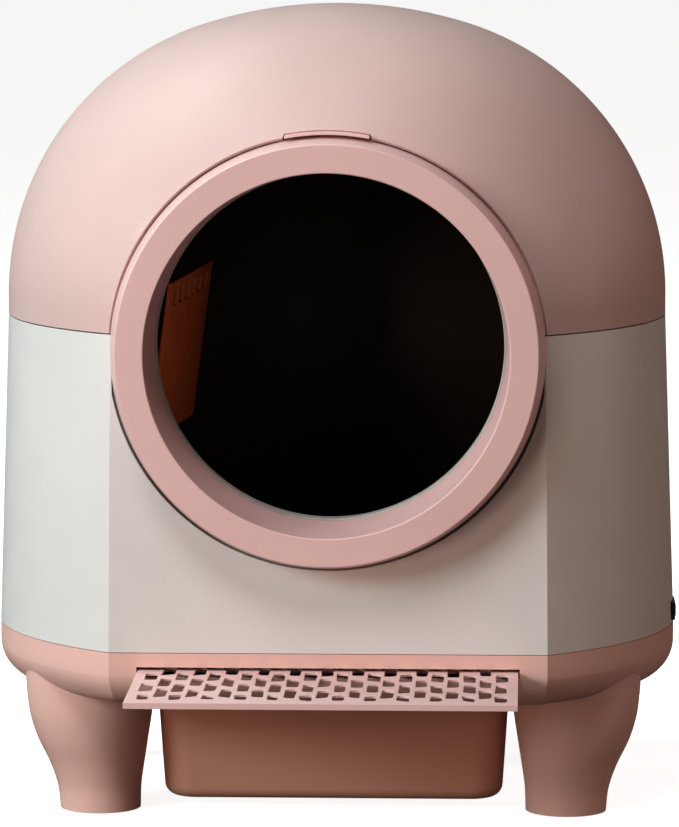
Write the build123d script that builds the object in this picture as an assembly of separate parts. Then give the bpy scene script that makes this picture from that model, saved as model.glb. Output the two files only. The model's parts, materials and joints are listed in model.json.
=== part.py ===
"""Hooded self-cleaning cat litter box: housing, hinged hood, turning drum, waste bin and step.

Frame: +Z up, the entry faces -Y, and the origin is on the floor below the middle of the footprint.
All sizes are in millimetres.
"""

from build123d import *
from math import acos, asin, cos, degrees, pi, radians, sin, sqrt, tan
import os

# Body
WALL = 3.0
WIDE_Y = 20.0               # plane in which the body is widest
SEAM_Z = 372.0              # line between the housing and the hood
SEAM_GAP = 0.5
BAND_Z = 135.0              # line between the base pan and the housing
PAN_Z = 94.0                # underside of the base pan
PAN_FLOOR_Z = PAN_Z + WALL  # its floor, on which the inner parts stand
PAN_ROUND = 26.0            # rounding of the base pan's lower edge
FRONT_SEMI = 233.0          # depth of the front ellipse
REAR_SEMI = 301.0           # depth of the rear ellipse
SEAM_OUTLINE = (252.0, -160.0, 285.0)     # half width, front flat, rear flat
BASE_OUTLINE = (260.0, -162.0, 287.0)

# Hood dome, an arch of three arcs
DOME_HALF = 252.0
DOME_RISE = 221.5
DOME_SIDE_R = 216.0
DOME_STRAIGHT = 14.0

# Screws
SCREW_R = 1.5
SCREW_HEAD_R = 3.2
SCREW_HEAD = 2.0

# Entry ring and its carrier, about one axis along Y
AXIS_Z = 359.0
RING_FRONT_Y = -190.0
RING_TAPER = 30.0           # length of the ring's tapered outside
RING_REAR_Y = -156.5
RING_FRONT_R = 155.1
RING_BACK_R = 160.2
RING_MOUTH_R = 133.8
RING_THROAT_R = 130.4
RING_GAP = 1.5
RING_EDGE = 2.5             # width of the ring's softened edges
RING_BOSS_R = 146.0
RING_BOSS_ANGLES = (195, 225, 255, 285, 315, 345)
RING_SCREW_BITE = 10.0
CARRIER_R = 172.0
CARRIER_HOLE_R = 138.0
CARRIER_THICK = 4.0
CARRIER_SCREW_R = 165.0
CARRIER_SCREW_ANGLES = (205, 240, 270, 300, 335)
SENSOR_Y = RING_FRONT_Y + 40
SENSOR_Z = 367.0
SENSOR_PITCH = 3.4          # between a sensor's two lenses
SENSOR_LENS_R = 1.0

# Latch tab at the top of the ring
LATCH_FRONT_Y = -174.0
LATCH_DEPTH = 24.0
LATCH_HALF = 31.0
LATCH_THICK = 2.4
LATCH_GAP = 0.6            # from the ring
LATCH_NOTCH = 0.9          # from the hood

# Drum, about the ring's axis
DRUM_Y = 44.0
DRUM_R = 205.0
DRUM_WALL = 3.0
LIP_R = 131.5
LIP_WALL = 2.1
LIP_FRONT_Y = -116.0
LIP_DEPTH = 14.0
BAND_R = 206.8
BAND_HALF = 8.0
PORT_ANGLE = 125.0
PORT_HALF_Y = 50.0
PORT_HALF = 60.0
LINER_WALL = 2.9
LINER_TOP_Z = 292.0
LINER_HALF_Y = 120.0

# Sieve: X and Y of its front and rear ends, and heights of its lower and upper edges
SIEVE_FRONT = (-126.5, -101.0)
SIEVE_REAR = (-108.0, 92.0)
SIEVE_Z = (283.0, 404.0)
SIEVE_LEAN = 8.0
SIEVE_WALL = 3.0
SIEVE_SLOTS = 6
SIEVE_SLOT_DROPS = (19.0, 7.0)

# Drive
MODULE = 3.2
PRESSURE_ANGLE = 20.0
ADDENDUM = 0.8              # in modules
DEDENDUM = 1.2
DRUM_TEETH = 100
PINION_TEETH = 12
GEAR_Y = 186.0
GEAR_WIDTH = 12.0
GEAR_NEAR = GEAR_Y - GEAR_WIDTH / 2
GEAR_FAR = GEAR_Y + GEAR_WIDTH / 2
DRIVE_ANGLE = -55.0
CENTRES = MODULE * (DRUM_TEETH + PINION_TEETH) / 2 + 0.2
DRIVE_X = CENTRES * cos(radians(DRIVE_ANGLE))
DRIVE_Z = AXIS_Z + CENTRES * sin(radians(DRIVE_ANGLE))
DRIVE_SHAFT_R = 4.0
SHAFT_GAP = 0.05
MOTOR_Y = GEAR_FAR + 6
MOTOR_R = 18.5
MOTOR_CAN_R = 14.0
MOTOR_GEARBOX = 24.0
MOTOR_CAN = 30.0
MOTOR_SCREW_R = 13.0
BRACKET_HALF = 24.0
BRACKET_THICK = 3.0

# Rollers and their cradles
TRACK_R = 183.0
TRACK_HALF = 6.0
TRACK_OFFSET = 104.0        # from the drum's middle to each roller track
ROLLER_R = 12.0
ROLLER_HALF = 5.0
ROLLER_HUB_R = 9.0
ROLLER_STEP = 1.5
ROLLER_ANGLE = 35.0         # from straight down
RUN_GAP = 0.3
ROLLER_X = (TRACK_R + ROLLER_R + RUN_GAP) * sin(radians(ROLLER_ANGLE))
ROLLER_Z = AXIS_Z - (TRACK_R + ROLLER_R + RUN_GAP) * cos(radians(ROLLER_ANGLE))
AXLE_R = 3.0
AXLE_HEAD_R = 5.0
CRADLE_NEAR = 8.0           # from the track's middle plane
CRADLE_FAR = 12.0
CRADLE_HALF = 175.0
CRADLE_ARCH_HALF = 147.0
CRADLE_ARCH_Z = 131.0
CRADLE_TOP_Z = 226.0
CRADLE_DISH_R = 177.0
CRADLE_FOOT_X = 161.0
CRADLE_FOOT_FAR = 30.0
CRADLE_FOOT_THICK = 4.0

# Rear spindle
SPINDLE_R = 6.0
HUB_R = 22.0
HUB_LENGTH = 13.0
SPINDLE_PLATE = 4.0

# Legs
FRONT_LEG = (184.4, -64.0, 0.0)           # X, Y and how much slimmer than the stations
REAR_LEG = (194.6, 143.0, 6.6)
LEG_STATIONS = ((112.0, 49.4, 0.0), (73.0, 46.4, -0.4), (36.0, 36.2, -4.8), (0.6, 30.6, -7.3))
LEG_LEAN = LEG_STATIONS[-1][2]
LEG_ROOM_Z = (5.0, 88.0)
LEG_PLACES = [(side, *sizes) for sizes in (FRONT_LEG, REAR_LEG) for side in (-1, 1)]
PAD_R = 28.0
PAD_THICK = 3.5

# Step
STEP_TOP_Z = 122.2
STEP_RIM = 4.5              # height of the rim under the plate
STEP_THICK = 1.8
STEP_LOW_Z = STEP_TOP_Z - STEP_RIM
STEP_HALF = 140.8
STEP_FRONT_Y = -298.0
STEP_BACK_Y = -141.0
STEP_CORNER_R = 5.0
STEP_COLUMNS = 11           # on each side of the middle one
STEP_FRONT_MARGIN = 24.0
STEP_BACK_MARGIN = 22.0
HOLE_PITCH = 12.1
HOLE_WIDTH = 8.6
HOLE_LENGTH = 34.0
HOLE_ROW = 26.0
RUNNER_IN_X = 126.0
RUNNER_OUT_X = 138.0
RUNNER_BACK_Y = -84.0
RUNNER_THICK = 3.5
STEP_RAIL_Y = (-135.0, 42.0)

# Waste bin, its bag frame and its rails
BIN_TOP_Z = 91.5
BIN_FLOOR_Z = 7.2
BIN_TOP_HALF = 134.0
BIN_LOW_HALF = 128.5
BIN_FRONT_Y = -76.0
BIN_BACK_Y = 170.0
BIN_MIDDLE_Y = (BIN_FRONT_Y + BIN_BACK_Y) / 2
BIN_DRAFT = 0.08
BIN_CORNER_R = 24.0
BIN_FLOOR_R = 9.0
BIN_WALL = 2.5
GRIP_Z = 84.0
GRIP_WIDTH = 90.0
GRIP_HEIGHT = 8.0
RUNG_Z = (83.2, 85.7)
RUNG_X = (119.0, 132.6)
RAIL_WEB_X = 112.0
RAIL_FOOT_X = 127.0
RAIL_LOW_Z = 80.0
RAIL_THICK = 3.0
RAIL_Y = (-50.0, 140.0)
BAG_FRAME_Z = 66.0
BAG_FRAME_THICK = 6.0
BAG_FRAME_SIZE = (259.2, 236.6, 21.0)     # outer width, depth and corner radius
BAG_FRAME_HOLE = (243.2, 220.6, 13.0)

# Waste way out of the drum
CHUTE_Y = 44.0
CHUTE_HALF_X = 62.0
CHUTE_HALF_Y = 46.0
CHUTE_FLARE = 12.0
CHUTE_MOUTH_Z = 190.0
CHUTE_WALL = 2.5
CHUTE_CORNER_R = 8.0
SEAL_OUTER_R = 210.2
SEAL_INNER_R = 208.2

# Hood hinge
HINGE_X = 85.0
HINGE_Y = 293.0
HINGE_R = 5.0
PIN_R = 2.0
KNUCKLE = 14.0
KNUCKLE_GAP = 0.4
LEAF_THICK = 2.6
LEAF_GAP = 3.0              # from the seam to each leaf
UPPER_LEAF = 32.0
LOWER_LEAF = 36.0

# Side button
BUTTON_Y = 3.0
BUTTON_Z = 145.0
BUTTON_FACE_X = 261.2
BUTTON_HALF = (12.5, 4.5)   # along Y and Z
BUTTON_FLANGE_HALF = (14.0, 6.0)
BEZEL_FACE_X = 260.6
BEZEL_BACK_X = 255.9
BEZEL_HALF = (15.8, 6.8)
BEZEL_HOLE_HALF = (12.8, 4.8)
BUTTON_CUT_HALF = (16.0, 7.0)
SWITCH_X = (242.0, 250.0)

# Power inlet and control board
INLET_X = 60.0
INLET_Z = 126.0
INLET_R = 6.0
INLET_FLANGE = 1.5
INLET_DEPTH = 13.0
JACK_R = 2.75
JACK_DEPTH = 8.0
JACK_PIN_R = 1.05
BOARD = (-64.0, 26.0, 200.0, 250.0)       # X and then Y limits
BOARD_Z = 108.0
BOARD_THICK = 1.6
BOARD_INSET = 5.0           # from the board's edges to its posts
POST_R = 3.0


def front_plane(y):
    """Plane that faces -Y, with its own x along X and its own y along Z."""
    return Plane(origin=(0, y, 0), x_dir=(1, 0, 0), z_dir=(0, -1, 0))


def along_y(sketch, near, far):
    """Sketch drawn in X and Z, made a slab from near to far along Y."""
    return extrude(front_plane(far) * sketch, amount=far - near)


def rod_y(radius, near, far, x=0.0, z=AXIS_Z):
    """Round bar along Y."""
    return along_y(Pos(x, z) * Circle(radius), near, far)


def rod_x(radius, near, far, y, z):
    """Round bar along X."""
    plane = Plane(origin=(near, y, z), x_dir=(0, 1, 0), z_dir=(1, 0, 0))
    return extrude(plane * Circle(radius), amount=far - near)


def rod_z(radius, low, high, x, y):
    """Round bar along Z."""
    return extrude(Pos(x, y, low) * Circle(radius), amount=high - low)


def block(x0, x1, y0, y1, z0, z1):
    """Box between two corners."""
    return Pos((x0 + x1) / 2, (y0 + y1) / 2, (z0 + z1) / 2) * Box(x1 - x0, y1 - y0, z1 - z0)


def ball(radius):
    """Sphere about the drum's middle."""
    return Pos(0, DRUM_Y, AXIS_Z) * Sphere(radius)


def turned(points):
    """Solid of revolution about the drum's axis from points of radius and Y."""
    face = Pos(0, 0, AXIS_Z) * make_face(Polyline(points, close=True))
    return revolve(face, Axis((0, 0, AXIS_Z), (0, 1, 0)), 360)


def polar(radius, angle):
    """X and Z of a point at an angle from +X about the drum's axis."""
    return radius * cos(radians(angle)), AXIS_Z + radius * sin(radians(angle))


def group(pieces):
    """Several loose solids in one node."""
    return Compound(children=list(pieces))


# ---------------------------------------------------------------- body shells

def outline(sizes, inset=0.0):
    """Plan of the body: a front flat, two half ellipses and a rear flat."""
    half, front_y, rear_y = sizes
    half -= inset
    front_semi = FRONT_SEMI - inset
    rear_semi = REAR_SEMI - inset
    front_at = degrees(asin((WIDE_Y - front_y - inset) / front_semi))
    rear_at = degrees(asin((rear_y - inset - WIDE_Y) / rear_semi))
    middle = (0, WIDE_Y)
    right_front = EllipticalCenterArc(middle, half, front_semi, -front_at, arc_size=front_at)
    right_rear = EllipticalCenterArc(middle, half, rear_semi, 0, arc_size=rear_at)
    left_rear = EllipticalCenterArc(middle, half, rear_semi, 180 - rear_at, arc_size=rear_at)
    left_front = EllipticalCenterArc(middle, half, front_semi, 180, arc_size=front_at)
    rear = Line(right_rear @ 1, left_rear @ 0)
    front = Line(left_front @ 1, right_front @ 0)
    return make_face([right_front, right_rear, rear, left_rear, left_front, front])


def pan_form(inset):
    """Filled shape of the base pan with its rounded underside."""
    bend_z = PAN_Z + PAN_ROUND
    radius = PAN_ROUND - inset
    sections = []
    for angle in (90.0, 65.0, 40.0, 18.0, 0.0):
        drop = radius * sin(radians(angle))
        inward = inset + radius * (1 - cos(radians(angle)))
        sections.append(Pos(0, 0, bend_z - drop) * outline(BASE_OUTLINE, inward))
    straight = extrude(Pos(0, 0, bend_z) * outline(BASE_OUTLINE, inset), amount=BAND_Z - bend_z)
    return loft(sections) + straight


def housing_form(inset):
    """Filled shape of the housing, which narrows towards the seam."""
    low = Pos(0, 0, BAND_Z + SEAM_GAP) * outline(BASE_OUTLINE, inset)
    high = Pos(0, 0, SEAM_Z - SEAM_GAP) * outline(SEAM_OUTLINE, inset)
    return loft([low, high], ruled=True)


def dome_profile(inset):
    """Half section of the hood: a straight skirt, a side arc and a top arc."""
    half = DOME_HALF - inset
    rise = DOME_RISE - inset
    side_r = DOME_SIDE_R - inset
    top_r = (half ** 2 - 2 * half * side_r + rise ** 2) / (2 * (rise - side_r))
    spring_z = SEAM_Z + SEAM_GAP + DOME_STRAIGHT
    side_x = half - side_r
    reach = top_r - side_r
    meet = (top_r * side_x / reach, spring_z + rise - top_r + top_r * (top_r - rise) / reach)
    low_z = SEAM_Z + SEAM_GAP
    skirt = Line((half, low_z), (half, spring_z))
    side = RadiusArc((half, spring_z), meet, -side_r)
    top = RadiusArc(meet, (0, spring_z + rise), -top_r)
    middle = Line((0, spring_z + rise), (0, low_z))
    base = Line((0, low_z), (half, low_z))
    return Plane.XZ * make_face([skirt, side, top, middle, base])


def dome_form(inset):
    """Filled hood: the section turned about Z and drawn out to each ellipse's depth."""
    half = revolve(dome_profile(inset), Axis.Z, 180)
    if half.bounding_box().max.Y < 1.0:
        half = Rot(0, 0, 180) * half
    rear = scale(half, by=(1, (REAR_SEMI - inset) / (DOME_HALF - inset), 1))
    front = scale(Rot(0, 0, 180) * half, by=(1, (FRONT_SEMI - inset) / (DOME_HALF - inset), 1))
    form = Pos(0, WIDE_Y, 0) * (rear + front)
    rear_y = SEAM_OUTLINE[2] - inset
    return form - block(-300, 300, rear_y, 400, 0, 700)


PAN_SOLID = pan_form(0.0)
RING_CUT = rod_y(RING_BACK_R + RING_GAP, -320, -140)


def base_pan():
    """Pan with the step's slot, the chute's hole and holes for the inlet and the leg screws."""
    pan = PAN_SOLID - pan_form(WALL)
    pan -= block(-STEP_HALF - 1, STEP_HALF + 1, -170, -150, STEP_LOW_Z - 0.8, STEP_TOP_Z + 2.4)
    pan -= block(-CHUTE_HALF_X, CHUTE_HALF_X, CHUTE_Y - CHUTE_HALF_Y, CHUTE_Y + CHUTE_HALF_Y, 90, 100)
    pan -= rod_y(INLET_R, 270, 300, INLET_X, INLET_Z)
    for side, x, y, _ in LEG_PLACES:
        pan -= rod_z(SCREW_R, 90, 100, side * x, y)
    return pan


def button_block(near, far, half):
    """Box across the side wall, centred on the button."""
    half_y, half_z = half
    return block(near, far, BUTTON_Y - half_y, BUTTON_Y + half_y, BUTTON_Z - half_z, BUTTON_Z + half_z)


def housing():
    """Middle of the body, open for the entry ring and the button."""
    shell = housing_form(0.0) - housing_form(WALL) - RING_CUT
    return shell - button_block(240, 280, BUTTON_CUT_HALF)


def hood():
    """Dome, open for the entry ring and the latch tab."""
    shell = dome_form(0.0) - dome_form(WALL) - RING_CUT
    return shell - latch_form(LATCH_NOTCH)


def latch_form(grow):
    """Arc-shaped tab at the top of the hood's cut-out."""
    low_r = RING_BACK_R + LATCH_GAP - grow
    high_r = low_r + LATCH_THICK + 2 * grow
    half = LATCH_HALF + grow
    arc = Pos(0, AXIS_Z) * (Circle(high_r) - Circle(low_r))
    tab = arc & (Pos(0, AXIS_Z + 160) * Rectangle(2 * half, 100))
    return along_y(tab, LATCH_FRONT_Y - 40 * grow, LATCH_FRONT_Y + LATCH_DEPTH + grow)


# ---------------------------------------------------------------- entry ring

def entry_ring():
    """Ring with a tapered outside, a flat face, a throat, screw bosses and sensor holes."""
    throat_y = LIP_FRONT_Y - 1.5
    profile = [
        (RING_MOUTH_R + RING_EDGE, RING_FRONT_Y), (RING_FRONT_R - RING_EDGE, RING_FRONT_Y),
        (RING_FRONT_R - 0.2, RING_FRONT_Y + 2.0), (RING_BACK_R, RING_FRONT_Y + RING_TAPER),
        (RING_BACK_R, RING_REAR_Y), (RING_BACK_R - WALL, RING_REAR_Y),
        (RING_BACK_R - WALL, RING_FRONT_Y + RING_TAPER), (RING_FRONT_R - WALL, RING_FRONT_Y + WALL),
        (RING_MOUTH_R + WALL, RING_FRONT_Y + WALL), (RING_THROAT_R + WALL, throat_y),
        (RING_THROAT_R, throat_y), (RING_MOUTH_R - 0.1, RING_FRONT_Y + RING_EDGE),
    ]
    ring = turned(profile)
    for angle in RING_BOSS_ANGLES:
        x, z = polar(RING_BOSS_R, angle)
        boss = rod_y(4.0, RING_FRONT_Y + WALL, RING_REAR_Y, x, z)
        ring += boss - rod_y(SCREW_R, RING_REAR_Y - 12, RING_REAR_Y, x, z)
    for side in (-1, 1):
        ring -= sensor_form(side)
    return ring


def ring_carrier():
    """Plate behind the housing's front that holds the entry ring."""
    rear_y = RING_REAR_Y + CARRIER_THICK
    plate = rod_y(CARRIER_R, RING_REAR_Y, rear_y) - rod_y(CARRIER_HOLE_R, RING_REAR_Y, rear_y)
    plate -= block(-200, 200, -200, -100, SEAM_Z - 12, 600)
    plate &= housing_form(WALL + 0.2)
    for radius, angles in ((RING_BOSS_R, RING_BOSS_ANGLES), (CARRIER_SCREW_R, CARRIER_SCREW_ANGLES)):
        for angle in angles:
            plate -= rod_y(SCREW_R, RING_REAR_Y, rear_y, *polar(radius, angle))
    return plate


def screws_y(radius, angles, depth):
    """Ring of slotted screws whose heads face the drum."""
    head_y = RING_REAR_Y + CARRIER_THICK
    top_y = head_y + SCREW_HEAD
    pieces = []
    for angle in angles:
        x, z = polar(radius, angle)
        screw = rod_y(SCREW_R, RING_REAR_Y - depth, head_y, x, z)
        screw += rod_y(SCREW_HEAD_R, head_y, top_y, x, z)
        pieces.append(screw - block(x - 2, x + 2, top_y - 1, top_y, z - 0.4, z + 0.4))
    return group(pieces)


def sensor_form(side):
    """Infrared sensor in the ring's throat: a block behind two small lenses."""
    near = RING_THROAT_R + 1.6
    body = block(near + 2.9, near + 9, SENSOR_Y - 4, SENSOR_Y + 4, SENSOR_Z - 5, SENSOR_Z + 5)
    for z in (SENSOR_Z - SENSOR_PITCH / 2, SENSOR_Z + SENSOR_PITCH / 2):
        body += rod_x(SENSOR_LENS_R, near - 0.2, near + 4, SENSOR_Y, z)
    return body if side > 0 else mirror(body, Plane.YZ)


# ---------------------------------------------------------------- drum

def drum_shell(front):
    """One bowl of the drum, cut at the drum's middle plane."""
    shell = ball(DRUM_R) - ball(DRUM_R - DRUM_WALL)
    if front:
        shell -= block(-300, 300, DRUM_Y, 400, 0, 700)
        shell -= rod_y(LIP_R + 0.1, -200, -60)
    else:
        shell -= block(-300, 300, -300, DRUM_Y + 0.2, 0, 700)
    return shell - port_cut(0.0)


def port_cut(grow):
    """Way out for waste, through one side of the drum's wall."""
    half_y, half = PORT_HALF_Y + grow, PORT_HALF + grow
    cut = block(120, 230, DRUM_Y - half_y, DRUM_Y + half_y, -half, half)
    return Pos(0, 0, AXIS_Z) * (Rot(0, -PORT_ANGLE, 0) * cut)


def drum_collar(radius, half_width, y):
    """Round band that hugs the drum's outside."""
    return rod_y(radius, y - half_width, y + half_width) - ball(DRUM_R)


def clamp_band():
    """Band that holds the two bowls together, stopped at the port's frame."""
    return drum_collar(BAND_R, BAND_HALF, DRUM_Y) - port_cut(10.2)


def port_frame():
    """Raised frame round the waste port."""
    return (port_cut(10.0) - port_cut(0.0)) & (ball(BAND_R) - ball(DRUM_R))


def drum_lip():
    """Light ring round the drum's mouth."""
    edge = LIP_FRONT_Y
    inner = LIP_R - LIP_WALL
    return turned([(inner + 0.5, edge), (LIP_R - 0.5, edge), (LIP_R, edge + 0.6), (LIP_R, edge + LIP_DEPTH),
                   (inner, edge + LIP_DEPTH), (inner, edge + 0.6)])


def litter_liner():
    """Soft dark liner in the lower part of the drum."""
    outer_r = DRUM_R - DRUM_WALL - 0.1
    shell = ball(outer_r) - ball(outer_r - LINER_WALL)
    return shell & block(-220, 220, DRUM_Y - LINER_HALF_Y, DRUM_Y + LINER_HALF_Y, 100, LINER_TOP_Z)


def sieve_screen():
    """Upright screen at the drum's left side, slotted along its top edge."""
    (x0, y0), (x1, y1) = SIEVE_FRONT, SIEVE_REAR
    low_z, high_z = SIEVE_Z
    faces = []
    for z, lean in ((low_z, -SIEVE_LEAN), (high_z, SIEVE_LEAN)):
        near_x, far_x = x0 + lean, x1 + lean
        corners = [(near_x, y0), (far_x, y1), (far_x - SIEVE_WALL, y1), (near_x - SIEVE_WALL, y0)]
        faces.append(Pos(0, 0, z) * make_face(Polyline(corners, close=True)))
    screen = loft(faces, ruled=True)
    pitch = (y1 - y0) / (SIEVE_SLOTS + 1)
    slot_low, slot_high = (high_z - drop for drop in SIEVE_SLOT_DROPS)
    for i in range(SIEVE_SLOTS):
        y = y0 + pitch * (i + 1)
        screen -= block(-160, -80, y - pitch / 3, y + pitch / 3, slot_low, slot_high)
    return screen & ball(DRUM_R - DRUM_WALL - 3.2)


def gear_outline(teeth, turn):
    """Involute spur gear with one tooth centred at the angle turn."""
    pitch_r = MODULE * teeth / 2
    base_r = pitch_r * cos(radians(PRESSURE_ANGLE))
    tip_r = pitch_r + ADDENDUM * MODULE
    root_r = pitch_r - DEDENDUM * MODULE
    half_tooth = 0.43 * pi / teeth

    def flank(radius):
        """Half angle of the tooth at a radius."""
        pitch_roll = tan(radians(PRESSURE_ANGLE)) - radians(PRESSURE_ANGLE)
        press = acos(min(base_r / radius, 1.0))
        return half_tooth + pitch_roll - (tan(press) - press)

    radii = sorted({root_r, max(root_r, base_r), pitch_r, tip_r})
    points = []
    for i in range(teeth):
        middle = radians(turn) + 2 * pi * i / teeth
        for radius in radii:
            points.append((radius, middle - flank(radius)))
        for radius in reversed(radii):
            points.append((radius, middle + flank(radius)))
    return make_face(Polyline([(r * cos(a), r * sin(a)) for r, a in points], close=True))


def drum_gear():
    """Ring gear on the drum's rear bowl."""
    gear = along_y(Pos(0, AXIS_Z) * gear_outline(DRUM_TEETH, DRIVE_ANGLE), GEAR_NEAR, GEAR_FAR)
    return gear - ball(DRUM_R)


def drive_pinion():
    """Pinion with its shaft, turned so that a gap meets the gear's tooth."""
    turn = DRIVE_ANGLE + 180 + 180 / PINION_TEETH
    pinion = along_y(Pos(DRIVE_X, DRIVE_Z) * gear_outline(PINION_TEETH, turn), GEAR_NEAR, GEAR_FAR)
    return pinion + rod_y(DRIVE_SHAFT_R, GEAR_FAR, MOTOR_Y + 12, DRIVE_X, DRIVE_Z)


def drive_motor():
    """Gearbox, motor can and end boss, bored for the pinion's shaft and the screws."""
    can_y = MOTOR_Y + MOTOR_GEARBOX
    motor = rod_y(MOTOR_R, MOTOR_Y, can_y, DRIVE_X, DRIVE_Z)
    motor += rod_y(MOTOR_CAN_R, can_y, can_y + MOTOR_CAN, DRIVE_X, DRIVE_Z)
    motor += rod_y(6.0, can_y + MOTOR_CAN, can_y + MOTOR_CAN + 3, DRIVE_X, DRIVE_Z)
    motor -= rod_y(DRIVE_SHAFT_R + SHAFT_GAP, MOTOR_Y - 1, MOTOR_Y + 12.3, DRIVE_X, DRIVE_Z)
    for x, z in motor_screw_places():
        motor -= rod_y(SCREW_R, MOTOR_Y, MOTOR_Y + 8, x, z)
    return motor


def motor_screw_places():
    """X and Z of the motor's four screws."""
    angles = (pi / 4, 3 * pi / 4, 5 * pi / 4, 7 * pi / 4)
    return [(DRIVE_X + MOTOR_SCREW_R * cos(a), DRIVE_Z + MOTOR_SCREW_R * sin(a)) for a in angles]


def motor_bracket():
    """Upright plate from the base pan to the motor, with a foot."""
    left, right = DRIVE_X - BRACKET_HALF, DRIVE_X + BRACKET_HALF
    near = MOTOR_Y - BRACKET_THICK
    plate = block(left, right, near, MOTOR_Y, PAN_FLOOR_Z, DRIVE_Z)
    plate += rod_y(BRACKET_HALF, near, MOTOR_Y, DRIVE_X, DRIVE_Z)
    plate += block(left, right, MOTOR_Y, MOTOR_Y + 22, PAN_FLOOR_Z, PAN_FLOOR_Z + BRACKET_THICK)
    plate -= rod_y(DRIVE_SHAFT_R + 3, near, MOTOR_Y, DRIVE_X, DRIVE_Z)
    for x, z in motor_screw_places():
        plate -= rod_y(SCREW_R, near, MOTOR_Y, x, z)
    return plate


def motor_screws():
    """Four screws from the bracket into the gearbox."""
    near = MOTOR_Y - BRACKET_THICK
    return group(
        rod_y(SCREW_R, near, MOTOR_Y + 8, x, z) + rod_y(2.6, near - 1.6, near, x, z)
        for x, z in motor_screw_places()
    )


def roller_places():
    """Name, side, track Y and the side of the track on which the cradle stands."""
    for end, y, away in (("front", DRUM_Y - TRACK_OFFSET, -1), ("rear", DRUM_Y + TRACK_OFFSET, 1)):
        for side_name, side in (("left", -1), ("right", 1)):
            yield f"roller_{end}_{side_name}", side, y, away


def roller(side, y):
    """Roller with a raised hub at its front and a bore for its axle."""
    x = side * ROLLER_X
    wheel = rod_y(ROLLER_R, y - ROLLER_HALF + ROLLER_STEP, y + ROLLER_HALF, x, ROLLER_Z)
    wheel += rod_y(ROLLER_HUB_R, y - ROLLER_HALF, y, x, ROLLER_Z)
    return wheel - rod_y(AXLE_R + SHAFT_GAP, y - ROLLER_HALF, y + ROLLER_HALF, x, ROLLER_Z)


def roller_axles():
    """Headed axles from the rollers into their cradles."""
    pieces = []
    for _, side, y, away in roller_places():
        x = side * ROLLER_X
        tip = y - away * (ROLLER_HALF + 2)
        axle = rod_y(AXLE_R, *sorted((tip, y + away * CRADLE_FAR)), x, ROLLER_Z)
        pieces.append(axle + rod_y(AXLE_HEAD_R, *sorted((tip, tip + away * 1.4)), x, ROLLER_Z))
    return group(pieces)


def cradle(y, away):
    """Upright plate that bridges the step's space and carries two rollers."""
    near, far = sorted((y + away * CRADLE_NEAR, y + away * CRADLE_FAR))
    plate = block(-CRADLE_HALF, CRADLE_HALF, near, far, PAN_FLOOR_Z, CRADLE_TOP_Z)
    plate -= block(-CRADLE_ARCH_HALF, CRADLE_ARCH_HALF, near, far, PAN_FLOOR_Z, CRADLE_ARCH_Z)
    plate -= rod_y(CRADLE_DISH_R, near, far)
    foot_near, foot_far = sorted((y + away * CRADLE_FAR, y + away * CRADLE_FOOT_FAR))
    foot_z = PAN_FLOOR_Z + CRADLE_FOOT_THICK
    for side in (-1, 1):
        plate -= rod_y(AXLE_R, near, far, side * ROLLER_X, ROLLER_Z)
        x = side * CRADLE_FOOT_X
        plate += block(x - 12, x + 12, foot_near, foot_far, PAN_FLOOR_Z, foot_z)
        plate -= rod_z(SCREW_R, PAN_FLOOR_Z, foot_z, x, (foot_near + foot_far) / 2)
    return plate


def cradle_screws():
    """Short screws on the cradles' feet."""
    foot_z = PAN_FLOOR_Z + CRADLE_FOOT_THICK
    pieces = []
    for y, away in ((DRUM_Y - TRACK_OFFSET, -1), (DRUM_Y + TRACK_OFFSET, 1)):
        screw_y = y + away * (CRADLE_FAR + CRADLE_FOOT_FAR) / 2
        for side in (-1, 1):
            x = side * CRADLE_FOOT_X
            shank = rod_z(SCREW_R, PAN_FLOOR_Z, foot_z, x, screw_y)
            pieces.append(shank + rod_z(SCREW_HEAD_R, foot_z, foot_z + SCREW_HEAD, x, screw_y))
    return group(pieces)


def drum_hub():
    """Boss behind the drum, bored for the spindle."""
    rear = DRUM_Y + DRUM_R
    hub = rod_y(HUB_R, rear - 6, rear + HUB_LENGTH) - ball(DRUM_R)
    return hub - rod_y(SPINDLE_R + SHAFT_GAP, rear + 2, rear + HUB_LENGTH + 1)


def rear_spindle():
    """Fixed pin on a plate at the housing's rear."""
    plate_y = SEAM_OUTLINE[2] - WALL - SPINDLE_PLATE - 0.2
    plate = block(-25, 25, plate_y, plate_y + SPINDLE_PLATE, 312, SEAM_Z - 3)
    return plate + rod_y(SPINDLE_R, DRUM_Y + DRUM_R + 3, plate_y)


# ---------------------------------------------------------------- chute and bin

def chute_form(grow):
    """Filled funnel from the pan's floor up, wider at its top."""
    half_x, half_y = CHUTE_HALF_X + grow, CHUTE_HALF_Y + grow
    low = RectangleRounded(2 * half_x, 2 * half_y, CHUTE_CORNER_R)
    high = RectangleRounded(2 * (half_x + CHUTE_FLARE), 2 * (half_y + CHUTE_FLARE), CHUTE_CORNER_R)
    return loft([Pos(0, CHUTE_Y, PAN_FLOOR_Z) * low, Pos(0, CHUTE_Y, CHUTE_MOUTH_Z) * high], ruled=True)


def waste_chute():
    """Funnel with a flange on the pan's floor, cut clear of the turning drum."""
    half_x, half_y = CHUTE_HALF_X - CHUTE_WALL, CHUTE_HALF_Y - CHUTE_WALL
    flange = RectangleRounded(2 * CHUTE_HALF_X + 24, 2 * CHUTE_HALF_Y + 10, CHUTE_CORNER_R)
    flange -= Rectangle(2 * half_x, 2 * half_y)
    foot = extrude(Pos(0, CHUTE_Y, PAN_FLOOR_Z) * flange, amount=CHUTE_WALL)
    return chute_form(0) - chute_form(-CHUTE_WALL) + foot - ball(SEAL_OUTER_R + 0.1)


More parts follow.
